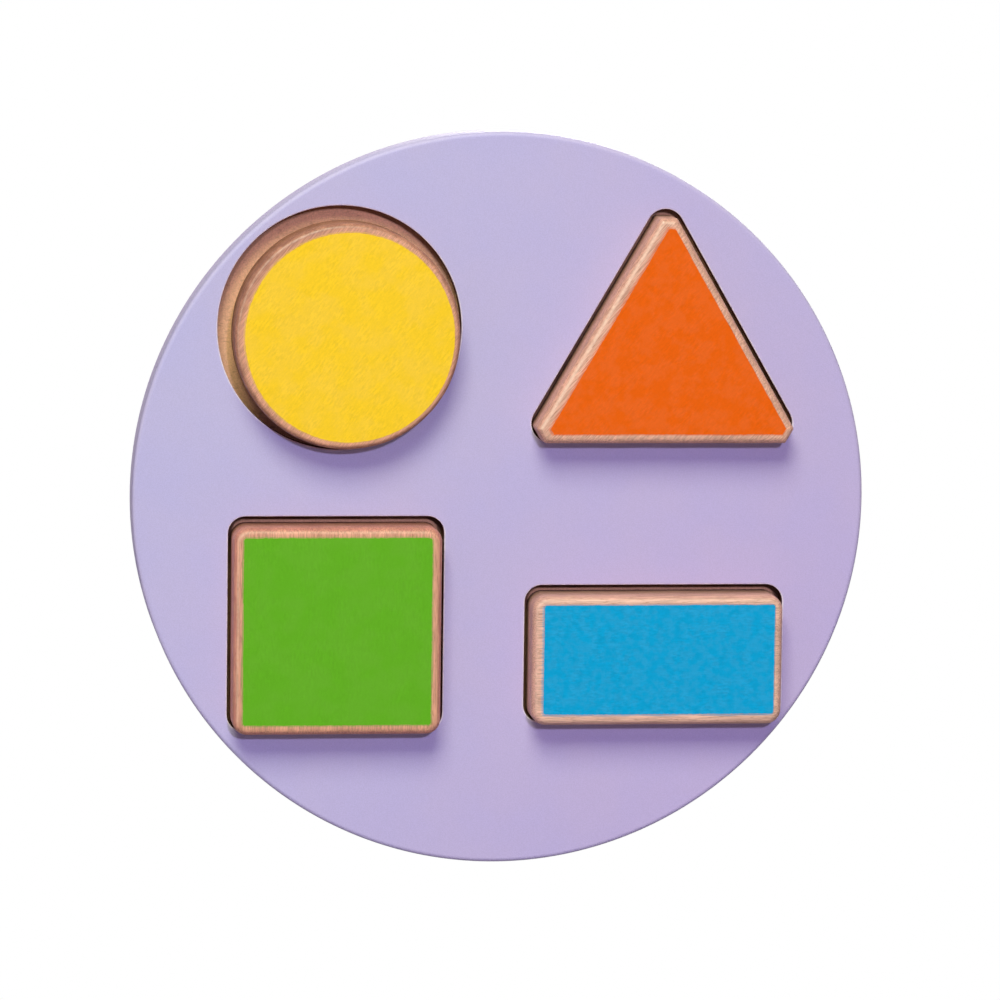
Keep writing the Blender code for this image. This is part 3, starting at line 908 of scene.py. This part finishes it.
def screw_tree():
    """Countersunk screw with a cross drive and a thread, set on each point and driven in along -Y."""
    tree = bpy.data.node_groups.new("Countersunk screw", "GeometryNodeTree")
    tree.interface.new_socket("Geometry", in_out="OUTPUT", socket_type="NodeSocketGeometry")
    sizes = ("Head Radius", "Shank Radius", "Length", "Thread Pitch", "Thread Height")
    kinds = {"Points": "Geometry", **dict.fromkeys(sizes, "Float"), "Seed": "Int", "Material": "Material"}
    for label, kind in kinds.items():
        tree.interface.new_socket(label, in_out="INPUT", socket_type=f"NodeSocket{kind}")
    graph = GeometryGraph(tree)
    given = tree.nodes.new("NodeGroupInput").outputs
    body, cone_depth, shank_end = screw_body(graph, given)
    thread = screw_thread(graph, given, cone_depth, shank_end)
    screw = graph.add("GeometryNodeJoinGeometry", {0: [body, thread]})
    turns = {2: 0.0, 3: math.pi, "Seed": given["Seed"]}
    spin = graph.add("FunctionNodeRandomValue", turns, out=1, data_type="FLOAT")
    turn = graph.add("ShaderNodeCombineXYZ", {"X": math.pi / 2, "Y": spin})
    places = {"Points": given["Points"], "Instance": screw, "Rotation": turn}
    copies = graph.add("GeometryNodeInstanceOnPoints", places)
    real = graph.add("GeometryNodeRealizeInstances", {"Geometry": copies})
    coated = graph.add("GeometryNodeSetMaterial", {"Geometry": real, "Material": given["Material"]})
    graph.feed(tree.nodes.new("NodeGroupOutput").inputs[0], coated)
    return tree


def screw_body(graph, given):
    """Head, shank and tip with the cross drive cut in, and the depths where the shank starts and ends."""
    head = given["Head Radius"]
    shank = given["Shank Radius"]
    cone_depth = graph.minus(head, shank)
    shank_end = graph.minus(given["Length"], shank)
    neck = graph.times(shank, NECK)
    cone = graph.cone(SCREW_SIDES, head, neck, cone_depth)
    shank_start = graph.times(cone_depth, SHANK_START)
    shank_depth = graph.minus(shank_end, shank_start)
    rod = graph.cone(SCREW_SIDES, shank, shank, shank_depth, shank_start)
    tip_start = graph.minus(shank_end, graph.times(shank, TIP_OVERLAP))
    tip = graph.cone(SCREW_SIDES, neck, graph.times(shank, TIP_END), shank, tip_start)
    body = graph.combine("UNION", {1: [cone, rod, tip]})
    drive_top = graph.times(head, DRIVE_TOP)
    drive_end = graph.times(head, DRIVE_END)
    blade = graph.cone(BLADE_SIDES, drive_top, drive_end, head)
    blades = []
    for stretch in DRIVE_BLADES:
        placed = {"Geometry": blade, "Scale": stretch, "Translation": DRIVE_START}
        blades.append(graph.add("GeometryNodeTransform", placed))
    driven = graph.combine("DIFFERENCE", {0: body, 1: blades})
    welded = graph.add("GeometryNodeMergeByDistance", {"Geometry": driven, "Distance": WELD_DISTANCE})
    return welded, cone_depth, shank_end


def screw_thread(graph, given, start, end):
    """Thread round the shank between two depths."""
    radius = given["Shank Radius"]
    height = graph.minus(end, start)
    turns = graph.math("DIVIDE", height, given["Thread Pitch"])
    path = {"Resolution": THREAD_POINTS, "Rotations": turns, "Height": height}
    helix = graph.add("GeometryNodeCurveSpiral", {**path, "Start Radius": radius, "End Radius": radius})
    ridge = {"Resolution": 3, "Radius": given["Thread Height"]}
    profile = graph.add("GeometryNodeCurvePrimitiveCircle", ridge, mode="RADIUS")
    sweep = {"Curve": helix, "Profile Curve": profile, "Fill Caps": True}
    return graph.raised(graph.add("GeometryNodeCurveToMesh", sweep), start)


def grow_screws(name, nodes, tree, values):
    """Mesh of the screws that stand for the nodes, one on each node's head."""
    points = bpy.data.meshes.new(name)
    spots = []
    for node in nodes:
        spot, _, back, _ = span(node)
        spots.append((spot.x, -back, spot.y))
    points.from_pydata(spots, [], [])
    carrier = place_in_scene(f"{name}_points", points)
    modifier = carrier.modifiers.new("Screws", "NODES")
    modifier.node_group = tree
    for socket in tree.interface.items_tree:
        if socket.name in values:
            modifier[socket.identifier] = values[socket.name]
    graph = bpy.context.evaluated_depsgraph_get()
    mesh = bpy.data.meshes.new_from_object(carrier.evaluated_get(graph), depsgraph=graph)
    bpy.data.objects.remove(carrier)
    if len(mesh.polygons) < len(nodes):
        raise RuntimeError(f"{name}: the screws came out empty")
    mesh.name = name
    return add_object(name, mesh)


# Finishes, as shader nodes

class ShaderGraph(NodeGraph):
    """Short way to write a shader tree."""

    def stretch(self, vector, factors):
        return self.add("ShaderNodeVectorMath", {0: vector, 1: factors}, operation="MULTIPLY")

    def scale(self, vector, factor):
        return self.add("ShaderNodeVectorMath", {0: vector, "Scale": factor}, operation="SCALE")

    def noise(self, vector, scale, detail=2.0, roughness=0.5):
        values = {"Vector": vector, "Scale": scale, "Detail": detail, "Roughness": roughness}
        return self.add("ShaderNodeTexNoise", values, out="Fac")

    def ramp(self, value, low, high, start=0.0, end=1.0):
        """Value between start and end, as the input goes from low to high."""
        values = {"Value": value, "From Min": low, "From Max": high, "To Min": start, "To Max": end}
        return self.add("ShaderNodeMapRange", values, out="Result", interpolation_type="SMOOTHSTEP")

    def blend(self, share, first, second, blend_type="MIX"):
        values = {0: share, 6: first, 7: second}
        return self.add("ShaderNodeMix", values, out=2, data_type="RGBA", blend_type=blend_type)

    def tone(self, colour, value, low, high):
        """The colour made darker or lighter, by a factor that goes from low to high with the value."""
        factor = self.ramp(value, 0.0, 1.0, low, high)
        grey = self.add("ShaderNodeCombineXYZ", {"X": factor, "Y": factor, "Z": factor})
        return self.blend(1.0, colour, grey, "MULTIPLY")

    def attribute(self, name):
        return self.add("ShaderNodeAttribute", {}, out="Fac", attribute_name=name)

    def place(self, heading=0.0, offset=(0.0, 0.0, 0.0)):
        """Object coordinates turned so that X runs along a heading in the plane of the panel."""
        spot = self.add("ShaderNodeTexCoord", {}, out="Object")
        turned = {"Vector": spot, "Location": offset, "Rotation": (0.0, math.radians(heading), 0.0)}
        return self.add("ShaderNodeMapping", turned)

    def bump(self, height, distance, strength=1.0):
        values = {"Height": height, "Distance": distance, "Strength": strength}
        return self.add("ShaderNodeBump", values)

    def axis(self, vector, name):
        return self.add("ShaderNodeSeparateXYZ", {0: vector}, out=name)

    def group(self, tree, inputs):
        node = self.tree.nodes.new("ShaderNodeGroup")
        node.node_tree = tree
        for name, value in inputs.items():
            self.feed(node.inputs[name], value)
        return node.outputs


def shared_group(name, factors, build):
    """Shader group with a vector and factors as inputs; build fills it once and returns its outputs."""
    tree = bpy.data.node_groups.get(name)
    if tree:
        return tree
    tree = bpy.data.node_groups.new(name, "ShaderNodeTree")
    tree.interface.new_socket("Vector", in_out="INPUT", socket_type="NodeSocketVector")
    for label in factors:
        tree.interface.new_socket(label, in_out="INPUT", socket_type="NodeSocketFloat")
    graph = ShaderGraph(tree)
    outputs = build(graph, tree.nodes.new("NodeGroupInput").outputs)
    for label in outputs:
        tree.interface.new_socket(label, in_out="OUTPUT", socket_type="NodeSocketFloat")
    made = tree.nodes.new("NodeGroupOutput").inputs
    for label, value in outputs.items():
        graph.feed(made[label], value)
    return tree


def wood_grain():
    """Grain along X: fine streaks, short dark pores and broad figure, each from 0 to 1."""

    def build(graph, given):
        sized = graph.scale(given["Vector"], given["Fineness"])
        streaks = graph.noise(graph.stretch(sized, (0.045, 1.0, 1.0)), 1.0, 4.0, 0.62)
        pores = graph.noise(graph.stretch(sized, (0.16, 1.9, 1.9)), 1.0, 1.0, 0.5)
        figure = graph.noise(graph.stretch(sized, (0.012, 0.07, 0.07)), 1.0, 2.0, 0.55)
        return {
            "Streaks": graph.ramp(streaks, 0.3, 0.7),
            "Pores": graph.ramp(pores, 0.6, 0.74),
            "Figure": graph.ramp(figure, 0.3, 0.7),
        }

    return shared_group("Wood grain", ["Fineness"], build)


def fibre_speckle():
    """Pressed fibres: fine speckle, scattered flecks and broad clouds, each from 0 to 1."""

    def build(graph, given):
        sized = graph.scale(given["Vector"], given["Fineness"])
        speckle = graph.noise(sized, 1.0, 3.0, 0.7)
        flecks = graph.noise(graph.stretch(sized, (0.3, 0.8, 1.1)), 0.6, 1.0, 0.5)
        clouds = graph.noise(sized, 0.03, 2.0, 0.5)
        return {
            "Speckle": graph.ramp(speckle, 0.25, 0.75),
            "Flecks": graph.ramp(flecks, 0.62, 0.75),
            "Clouds": graph.ramp(clouds, 0.3, 0.7),
        }

    return shared_group("Fibre speckle", ["Fineness"], build)


def surface_mottle():
    """Broad patches and fine grit over a coated or plated surface, from 0 to 1."""

    def build(graph, given):
        patches = graph.noise(given["Vector"], given["Patch Scale"], 3.0, 0.55)
        grit = graph.noise(given["Vector"], given["Grit Scale"], 2.0, 0.6)
        return {"Patches": graph.ramp(patches, 0.3, 0.7), "Grit": graph.ramp(grit, 0.25, 0.75)}

    return shared_group("Surface mottle", ["Patch Scale", "Grit Scale"], build)


def edge_highlight_and_wear():
    """Broken mask along an edge; the edge value is 1 on the arris and 0 on the flats."""

    def build(graph, given):
        broken = graph.noise(given["Vector"], given["Fineness"], 3.0, 0.6)
        broken = graph.ramp(broken, 0.25, 0.65, 0.35, 1.0)
        mask = graph.times(graph.ramp(given["Edge"], 0.1, 0.9), broken)
        return {"Mask": graph.times(mask, given["Amount"])}

    return shared_group("Edge wear", ["Edge", "Fineness", "Amount"], build)


def new_material(name, specular=0.5, metallic=0.0):
    """Material with an empty principled shader, and its graph."""
    material = bpy.data.materials.new(name)
    material.use_nodes = True
    shader = material.node_tree.nodes["Principled BSDF"]
    shader.inputs["Specular IOR Level"].default_value = specular
    shader.inputs["Metallic"].default_value = metallic
    return material, ShaderGraph(material.node_tree), shader.inputs


def coat(graph, shader, base, roughness, normal):
    graph.feed(shader["Base Color"], base)
    graph.feed(shader["Roughness"], roughness)
    graph.feed(shader["Normal"], normal)


def sprayed_lilac(graph, finishes, spot):
    """Colour of the lacquer and its mottle."""
    mottle = graph.group(surface_mottle(), {"Vector": spot, "Patch Scale": 38.0, "Grit Scale": 2600.0})
    return graph.tone(finishes.lilac, mottle["Grit"], 0.955, 1.045), mottle


def edge_highlights(graph, spot, fineness, amount):
    """Mask of the places along an edge that get a painted highlight and are rubbed."""
    values = {"Edge": graph.attribute("edge"), "Vector": spot, "Fineness": fineness, "Amount": amount}
    return graph.group(edge_highlight_and_wear(), values)["Mask"]


def lacquer_finish(name, finishes):
    """Satin lacquer, paler along the arrises where it thins and where a highlight is painted, its colour
    drifting across the face as painted light and shade; raw fibreboard shows where it was not sprayed.
    """
    material, graph, shader = new_material(name, specular=0.2)
    spot = graph.place()
    lilac, mottle = sprayed_lilac(graph, finishes, spot)
    cool = graph.blend(1.0, lilac, LACQUER_PATCHES, "MULTIPLY")
    lilac = graph.blend(mottle["Patches"], lilac, cool)
    # Painted light and shade: the colour drifts across the face
    for axis, start, end in LACQUER_LIGHT_DRIFT:
        along = graph.ramp(graph.axis(spot, axis), -LIGHT_DRIFT_REACH, LIGHT_DRIFT_REACH)
        lilac = graph.blend(1.0, lilac, graph.blend(along, start, end), "MULTIPLY")
    # Paler arrises: thinner lacquer and a painted highlight
    lilac = graph.blend(edge_highlights(graph, spot, 420.0, 1.0), lilac, finishes.lilac_arris_highlight)
    fibre = graph.group(fibre_speckle(), {"Vector": spot, "Fineness": 1900.0})
    raw = graph.tone(finishes.fibre_edge, fibre["Speckle"], 0.7, 1.3)
    raw = graph.blend(graph.times(fibre["Flecks"], 0.3), raw, finishes.fibreboard)
    bare = graph.plus(graph.attribute("bare"), graph.times(fibre["Speckle"], 0.3))
    bare = graph.ramp(bare, 0.35, 0.85)
    base = graph.blend(bare, lilac, raw)
    satin = graph.ramp(mottle["Grit"], 0.0, 1.0, 0.46, 0.56)
    roughness = graph.math("MAXIMUM", satin, graph.times(bare, 0.9))
    peel = graph.noise(spot, 700.0, 2.0, 0.5)
    height = graph.plus(peel, graph.times(bare, fibre["Speckle"]))
    coat(graph, shader, base, roughness, graph.bump(height, 0.00006, 0.35))
    return material


def fibreboard_finish(name, finishes):
    """Raw pressed board with painted shade on the pockets' floors beside their walls, and lacquer only
    where its rim was sprayed.
    """
    material, graph, shader = new_material(name, specular=0.25)
    spot = graph.place()
    fibre = graph.group(fibre_speckle(), {"Vector": spot, "Fineness": 1700.0})
    raw = graph.tone(finishes.fibreboard, fibre["Speckle"], 0.86, 1.1)
    raw = graph.blend(graph.times(fibre["Flecks"], 0.25), raw, finishes.fibre_edge)
    raw = graph.tone(raw, fibre["Clouds"], 0.95, 1.04)
    uneven = graph.ramp(fibre["Clouds"], 0.0, 1.0, 0.75, 1.0)
    # Painted shade on the pockets' floors beside their walls
    raw = graph.blend(graph.times(graph.attribute("scorch"), uneven), raw, finishes.painted_shade_colour)
    lilac, _ = sprayed_lilac(graph, finishes, spot)
    bare = graph.plus(graph.attribute("bare"), graph.times(fibre["Speckle"], 0.25))
    bare = graph.ramp(bare, 0.3, 0.75)
    base = graph.blend(bare, lilac, raw)
    roughness = graph.ramp(bare, 0.0, 1.0, 0.5, 0.9)
    height = graph.times(fibre["Speckle"], graph.ramp(bare, 0.0, 1.0, 0.2, 1.0))
    coat(graph, shader, base, roughness, graph.bump(height, 0.0001, 0.5))
    return material


def grain_offset(shape):
    """Keeps the grain of one block unlike the grain of the next."""
    across, along = GRAIN_STEP
    index = SHAPES.index(shape)
    return (across * index, along * index, GRAIN_DEPTH)


def bare_beech(graph, finishes, spot, pale=0.0):
    """Colour of sanded beech, its grain and its pores."""
    grain = graph.group(wood_grain(), {"Vector": spot, "Fineness": 2200.0})
    wood = Vector(finishes.beech).lerp(Vector(finishes.pale_beech), pale)
    base = graph.tone(wood, grain["Figure"], 0.92, 1.07)
    base = graph.tone(base, grain["Streaks"], 0.78, 1.18)
    return graph.blend(graph.times(grain["Pores"], 0.6), base, finishes.beech_pore), grain


def beech_finish(name, finishes, look, shape, stain=None):
    """Sanded beech, darker on its sides, partly from the saw and partly as painted shade, with painted
    shade at its foot and a painted highlight along its front edge; beside the colour a little of the stain
    has bled in.
    """
    material, graph, shader = new_material(name, specular=0.35)
    spot = graph.place(look.grain, grain_offset(shape))
    base, grain = bare_beech(graph, finishes, spot, look.pale)
    wear = edge_highlights(graph, spot, 700.0, look.wear)
    patchy = graph.ramp(graph.noise(spot, 260.0, 3.0, 0.6), 0.3, 0.7, 0.6, 1.2)
    # Darker sides: the saw-cut wood's own tone and painted shade
    sawn_and_shaded = graph.blend(1.0, base, look.sawn_and_shaded, "MULTIPLY")
    base = graph.blend(graph.times(graph.attribute("side"), patchy), base, sawn_and_shaded)
    # Painted highlight along the front edge
    base = graph.blend(wear, base, HIGHLIGHT_WOOD)
    # Painted shade at the block's foot
    uneven = graph.ramp(grain["Figure"], 0.0, 1.0, 0.55, 0.85)
    base = graph.blend(graph.times(graph.attribute("scorch"), uneven), base, finishes.painted_shade_colour)
    if stain is not None:
        near = graph.plus(graph.attribute("border"), graph.times(grain["Streaks"], 0.3))
        base = graph.blend(graph.ramp(near, 0.15, 0.6, 0.55, 0.0), base, stain)
    rough = graph.ramp(grain["Streaks"], 0.0, 1.0, 0.62, 0.48)
    roughness = graph.minus(rough, graph.times(wear, 0.6))
    height = graph.minus(grain["Streaks"], grain["Pores"])
    coat(graph, shader, base, roughness, graph.bump(height, 0.00008, 0.5))
    return material


def stain_finish(name, finishes, shape):
    """Satin stain over the wood's grain, patchy and sanded thin along its edge."""
    material, graph, shader = new_material(name, specular=0.06)
    look = LOOKS[shape]
    spot = graph.place(look.grain, grain_offset(shape))
    short = graph.stretch(spot, (7.0, 1.0, 1.0))
    grain = graph.group(wood_grain(), {"Vector": short, "Fineness": 1400.0})
    scales = {"Patch Scale": look.patches, "Grit Scale": 1500.0}
    mottle = graph.group(surface_mottle(), {"Vector": spot, **scales})
    thin = graph.ramp(mottle["Patches"], 0.0, 1.0, 0.0, look.thinness)
    base = graph.blend(thin, getattr(finishes, shape), finishes.thin_stain)
    shown = graph.ramp(graph.noise(spot, 210.0, 2.0, 0.5), 0.35, 0.65, 0.25 * look.streaks, look.streaks)
    streaks = graph.times(graph.minus(grain["Streaks"], 0.5), shown)
    base = graph.tone(base, graph.plus(streaks, 0.5), 0.92, 1.07)
    base = graph.tone(base, mottle["Grit"], 0.98, 1.02)
    wood, _ = bare_beech(graph, finishes, spot)
    ragged = graph.noise(spot, 900.0, 3.0, 0.6)
    near = graph.minus(graph.attribute("border"), graph.times(ragged, 0.4))
    base = graph.blend(graph.ramp(near, -0.2, 0.1), wood, base)
    roughness = graph.ramp(grain["Streaks"], 0.0, 1.0, 0.6, 0.5)
    height = graph.minus(streaks, graph.times(grain["Pores"], 0.3))
    coat(graph, shader, base, roughness, graph.bump(height, 0.00003, 0.3))
    return material


def plated_finish(name, plate, rough, scratch_heading=0.0):
    """Plated steel with faint patches and fine scratches along one heading."""
    material, graph, shader = new_material(name, metallic=1.0)
    spot = graph.place(scratch_heading)
    mottle = graph.group(surface_mottle(), {"Vector": spot, "Patch Scale": 260.0, "Grit Scale": 3000.0})
    base = graph.tone(plate, mottle["Patches"], 0.88, 1.06)
    scratches = graph.noise(graph.stretch(spot, (60.0, 6000.0, 6000.0)), 1.0, 3.0, 0.7)
    base = graph.tone(base, scratches, 0.94, 1.05)
    wear_and_sheen = graph.plus(mottle["Patches"], mottle["Grit"])
    roughness = graph.ramp(wear_and_sheen, 0.0, 2.0, rough + 0.1, rough - 0.05)
    coat(graph, shader, base, roughness, graph.bump(scratches, 0.00002, 0.3))
    return material


# Stage

def add_light(name, power, size):
    """Square light that shines one way."""
    light = bpy.data.lights.new(name, "AREA")
    light.size = size
    light.energy = power
    return place_in_scene(name, light)


def aim(lamp, spot, target):
    lamp.location = spot
    lamp.rotation_euler = (spot - target).to_track_quat("Z", "Y").to_euler()


def above_front(tilt, turn):
    """Direction that leaves the panel's front by the tilt, upwards and to the right by the turn."""
    return Vector((math.sin(tilt) * math.sin(turn), -math.cos(tilt), math.sin(tilt) * math.cos(turn)))


def unlit_share(graph):
    """1 for rays that should see white surroundings: from the camera, a reflection or clear material."""
    path = graph.tree.nodes.new("ShaderNodeLightPath").outputs
    share = graph.math("MAXIMUM", path["Is Camera Ray"], path["Is Glossy Ray"])
    return graph.math("MAXIMUM", share, path["Is Transmission Ray"])


def add_world(studio):
    world = bpy.data.worlds.new("Studio")
    bpy.context.scene.world = world
    world.use_nodes = True
    graph = ShaderGraph(world.node_tree)
    world.node_tree.nodes.clear()
    right = graph.axis(graph.add("ShaderNodeTexCoord", {}, out="Generated"), "X")
    strength = graph.ramp(right, -1.0, 1.0, studio.fill * (1 + FILL_LEAN), studio.fill * (1 - FILL_LEAN))
    soft = graph.add("ShaderNodeBackground", {"Color": studio.fill_tint, "Strength": strength})
    white = graph.add("ShaderNodeBackground", {"Color": WHITE, "Strength": 1.0})
    mixed = graph.add("ShaderNodeMixShader", {0: unlit_share(graph), 1: soft, 2: white})
    output = world.node_tree.nodes.new("ShaderNodeOutputWorld")
    graph.feed(output.inputs["Surface"], mixed)


def add_floor(drop):
    """Wide pale floor that looks white, keeps a soft shadow and doesn't hide the panel from below."""
    form = bmesh.new()
    bmesh.ops.create_circle(form, cap_ends=True, radius=FLOOR_RADIUS, segments=FLOOR_SIDES)
    mesh = bpy.data.meshes.new("studio_floor")
    form.to_mesh(mesh)
    form.free()
    floor = add_object("studio_floor", mesh)
    floor.location.z = -drop
    material = bpy.data.materials.new("Studio floor")
    material.use_nodes = True
    graph = ShaderGraph(material.node_tree)
    material.node_tree.nodes.clear()
    pale = graph.add("ShaderNodeBsdfDiffuse", {"Color": FLOOR_GREY})
    white = graph.add("ShaderNodeEmission", {"Color": WHITE, "Strength": 1.0})
    spot = graph.add("ShaderNodeTexCoord", {}, out="Object")
    away = graph.add("ShaderNodeVectorMath", {0: spot}, out="Value", operation="LENGTH")
    whiteness = graph.ramp(away, *FLOOR_SHADOW, FLOOR_WHITENESS, 1.0)
    share = graph.times(unlit_share(graph), whiteness)
    top = graph.add("ShaderNodeMixShader", {0: share, 1: pale, 2: white})
    clear = graph.add("ShaderNodeBsdfTransparent", {})
    underside = graph.add("ShaderNodeNewGeometry", {}, out="Backfacing")
    surface = graph.add("ShaderNodeMixShader", {0: underside, 1: top, 2: clear})
    output = material.node_tree.nodes.new("ShaderNodeOutputMaterial")
    graph.feed(output.inputs["Surface"], surface)
    mesh.materials.append(material)


def add_camera(studio, target):
    camera = place_in_scene("Camera", bpy.data.cameras.new("Camera"))
    bpy.context.scene.camera = camera
    camera.data.lens = studio.lens
    turn = studio.azimuth
    rise = studio.elevation
    away = Vector((math.sin(turn) * math.cos(rise), -math.cos(turn) * math.cos(rise), math.sin(rise)))
    camera.location = target + away * studio.distance
    level = away.to_track_quat("Z", "Y")
    camera.rotation_euler = (level.to_matrix() @ Euler((0, 0, studio.roll)).to_matrix()).to_euler()


# Operators

class PanelStep:
    """What all steps share: each can be undone."""

    bl_options = {"REGISTER", "UNDO"}


class WALLPANEL_OT_stage(PanelStep, bpy.types.Operator):
    """Set up the camera, the soft lights, the white surroundings and the floor"""

    bl_idname = "wall_panel.stage"
    bl_label = "Set up the stage"

    def execute(self, context):
        studio = context.scene.wall_panel.studio
        context.scene.view_settings.view_transform = "Standard"
        face = Vector((0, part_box("face_panel")[0].y, 0))
        add_camera(studio, face)
        for name in ("key", "lamp"):
            towards = above_front(getattr(studio, f"{name}_tilt"), getattr(studio, f"{name}_turn"))
            size = getattr(studio, f"{name}_size")
            light = add_light(name.capitalize(), getattr(studio, f"{name}_power"), size)
            light.data.color = getattr(studio, f"{name}_tint")
            aim(light, face + towards * studio.light_distance, face)
        back = add_light("Back", studio.back_power, studio.back_size)
        aim(back, BACK_LIGHT_PLACE, face)
        add_world(studio)
        add_floor(studio.floor_drop)
        return {"FINISHED"}


class WALLPANEL_OT_face_panel(PanelStep, bpy.types.Operator):
    """Build the lacquered face with its four pockets"""

    bl_idname = "wall_panel.face_panel"
    bl_label = "Build the face"

    def execute(self, context):
        settings = context.scene.wall_panel
        piece = build_face_panel(settings.panel, settings.blocks)
        finish = lacquer_finish("Lilac lacquer", settings.finishes)
        dress(piece, finish, "panel", "lilac_lacquer", "face_panel")
        return {"FINISHED"}


class WALLPANEL_OT_back_board(PanelStep, bpy.types.Operator):
    """Build the board behind the face, with its routed and drilled back"""

    bl_idname = "wall_panel.back_board"
    bl_label = "Build the board"

    def execute(self, context):
        settings = context.scene.wall_panel
        piece = build_back_board(settings.panel, settings.blocks, settings.fittings)
        finish = fibreboard_finish("Raw fibreboard", settings.finishes)
        dress(piece, finish, "panel", "raw_fibreboard", "back_board")
        return {"FINISHED"}


class WALLPANEL_OT_blocks(PanelStep, bpy.types.Operator):
    """Build the four wooden blocks"""

    bl_idname = "wall_panel.blocks"
    bl_label = "Build the blocks"

    def execute(self, context):
        settings = context.scene.wall_panel
        for shape in SHAPES:
            piece = build_block(shape, settings.blocks)
            stain = getattr(settings.finishes, shape)
            finish = beech_finish(f"Beech {shape}", settings.finishes, LOOKS[shape], shape, stain)
            dress(piece, finish, shape, "bare_beech", f"{shape}_block")
        return {"FINISHED"}


class WALLPANEL_OT_colours(PanelStep, bpy.types.Operator):
    """Lay the coloured stain on the front of each block"""

    bl_idname = "wall_panel.colours"
    bl_label = "Stain the blocks"

    def execute(self, context):
        settings = context.scene.wall_panel
        slots = {sub["node"]: sub["material_slot"] for sub in frame["record"]["subparts"]}
        for shape in SHAPES:
            piece = build_stain(shape, settings.blocks)
            finish = stain_finish(f"Stain {shape}", settings.finishes, shape)
            node = f"{shape}_veneer"
            dress(piece, finish, shape, slots[node], node)
        return {"FINISHED"}


class WALLPANEL_OT_plugs(PanelStep, bpy.types.Operator):
    """Turn the wooden plugs that close the magnet bores in the board and the blocks"""

    bl_idname = "wall_panel.plugs"
    bl_label = "Turn the plugs"

    def execute(self, context):
        settings = context.scene.wall_panel
        for shape in SHAPES:
            for holder, body in (("board", "panel"), ("block", shape)):
                node = f"{shape}_{holder}_plug"
                piece = build_plug(node, f"{node}_turned", settings.fittings)
                finish = beech_finish(f"Beech {node}", settings.finishes, PLUG_LOOK, shape)
                dress(piece, finish, body, "bare_beech", node)
        return {"FINISHED"}


class WALLPANEL_OT_magnets(PanelStep, bpy.types.Operator):
    """Plate the magnets that are sealed in the board and the blocks"""

    bl_idname = "wall_panel.magnets"
    bl_label = "Plate the magnets"

    def execute(self, context):
        finish = plated_finish("Nickel", context.scene.wall_panel.finishes.nickel, rough=0.22)
        for shape in SHAPES:
            for holder in ("board", "block"):
                magnet = frame["nodes"][f"{shape}_{holder}_magnet"]
                magnet.data.materials.clear()
                magnet.data.materials.append(finish)
        return {"FINISHED"}


class WALLPANEL_OT_hangers(PanelStep, bpy.types.Operator):
    """Stamp the two keyhole hangers"""

    bl_idname = "wall_panel.hangers"
    bl_label = "Stamp the hangers"

    def execute(self, context):
        settings = context.scene.wall_panel
        finish = plated_finish("Zinc plate", settings.finishes.zinc, rough=0.34, scratch_heading=90.0)
        for side in SIDES:
            piece = build_hanger(side, settings.fittings, settings.panel.seat_gap)
            dress(piece, finish, "panel", "zinc_steel", f"{side}_hanger")
        return {"FINISHED"}


class WALLPANEL_OT_screws(PanelStep, bpy.types.Operator):
    """Drive the countersunk screws into the board and the hangers"""

    bl_idname = "wall_panel.screws"
    bl_label = "Drive the screws"

    def execute(self, context):
        settings = context.scene.wall_panel
        finish = plated_finish("Zinc screws", settings.finishes.zinc, rough=0.3)
        tree = screw_tree()
        rows = (("board_screws", BOARD_SCREWS), ("hanger_screws", HANGER_SCREWS))
        for seed, (name, nodes) in enumerate(rows):
            _, head, back, tip = span(nodes[0])
            values = {
                "Head Radius": head.x,
                "Shank Radius": head.x / 2,
                "Length": tip - back,
                "Thread Pitch": settings.fittings.thread_pitch,
                "Thread Height": settings.fittings.thread_height,
                "Seed": seed,
                "Material": finish,
            }
            piece = grow_screws(name, nodes, tree, values)
            dress(piece, finish, "panel", "zinc_steel", *nodes)
        return {"FINISHED"}


class VIEW3D_PT_wall_panel(bpy.types.Panel):
    """Settings and steps of the wall panel"""

    bl_label = "Wall panel"
    bl_space_type = "VIEW_3D"
    bl_region_type = "UI"
    bl_category = "Wall panel"

    def draw(self, context):
        settings = context.scene.wall_panel
        for operator in OPERATORS:
            self.layout.operator(operator.bl_idname)
        for title in ("panel", "blocks", "fittings", "finishes", "studio"):
            box = self.layout.box()
            box.label(text=title.capitalize())
            group = getattr(settings, title)
            for name in group.bl_rna.properties.keys():
                if name not in ("rna_type", "name"):
                    box.prop(group, name)


OPERATORS = (
    WALLPANEL_OT_stage,
    WALLPANEL_OT_face_panel,
    WALLPANEL_OT_back_board,
    WALLPANEL_OT_blocks,
    WALLPANEL_OT_colours,
    WALLPANEL_OT_plugs,
    WALLPANEL_OT_magnets,
    WALLPANEL_OT_hangers,
    WALLPANEL_OT_screws,
)
GROUPS = (PanelSizes, BlockSizes, FittingSizes, Finishes, Studio, WallPanelSettings)


def register():
    for item in (*GROUPS, *OPERATORS, VIEW3D_PT_wall_panel):
        bpy.utils.register_class(item)
    bpy.types.Scene.wall_panel = PointerProperty(type=WallPanelSettings)


def unregister():
    del bpy.types.Scene.wall_panel
    for item in reversed((*GROUPS, *OPERATORS, VIEW3D_PT_wall_panel)):
        bpy.utils.unregister_class(item)


def main():
    register()
    bpy.ops.wall_panel.stage()
    bpy.ops.wall_panel.face_panel()
    bpy.ops.wall_panel.back_board()
    bpy.ops.wall_panel.blocks()
    bpy.ops.wall_panel.colours()
    bpy.ops.wall_panel.plugs()
    bpy.ops.wall_panel.magnets()
    bpy.ops.wall_panel.hangers()
    bpy.ops.wall_panel.screws()


if __name__ == "__main__":
    main()
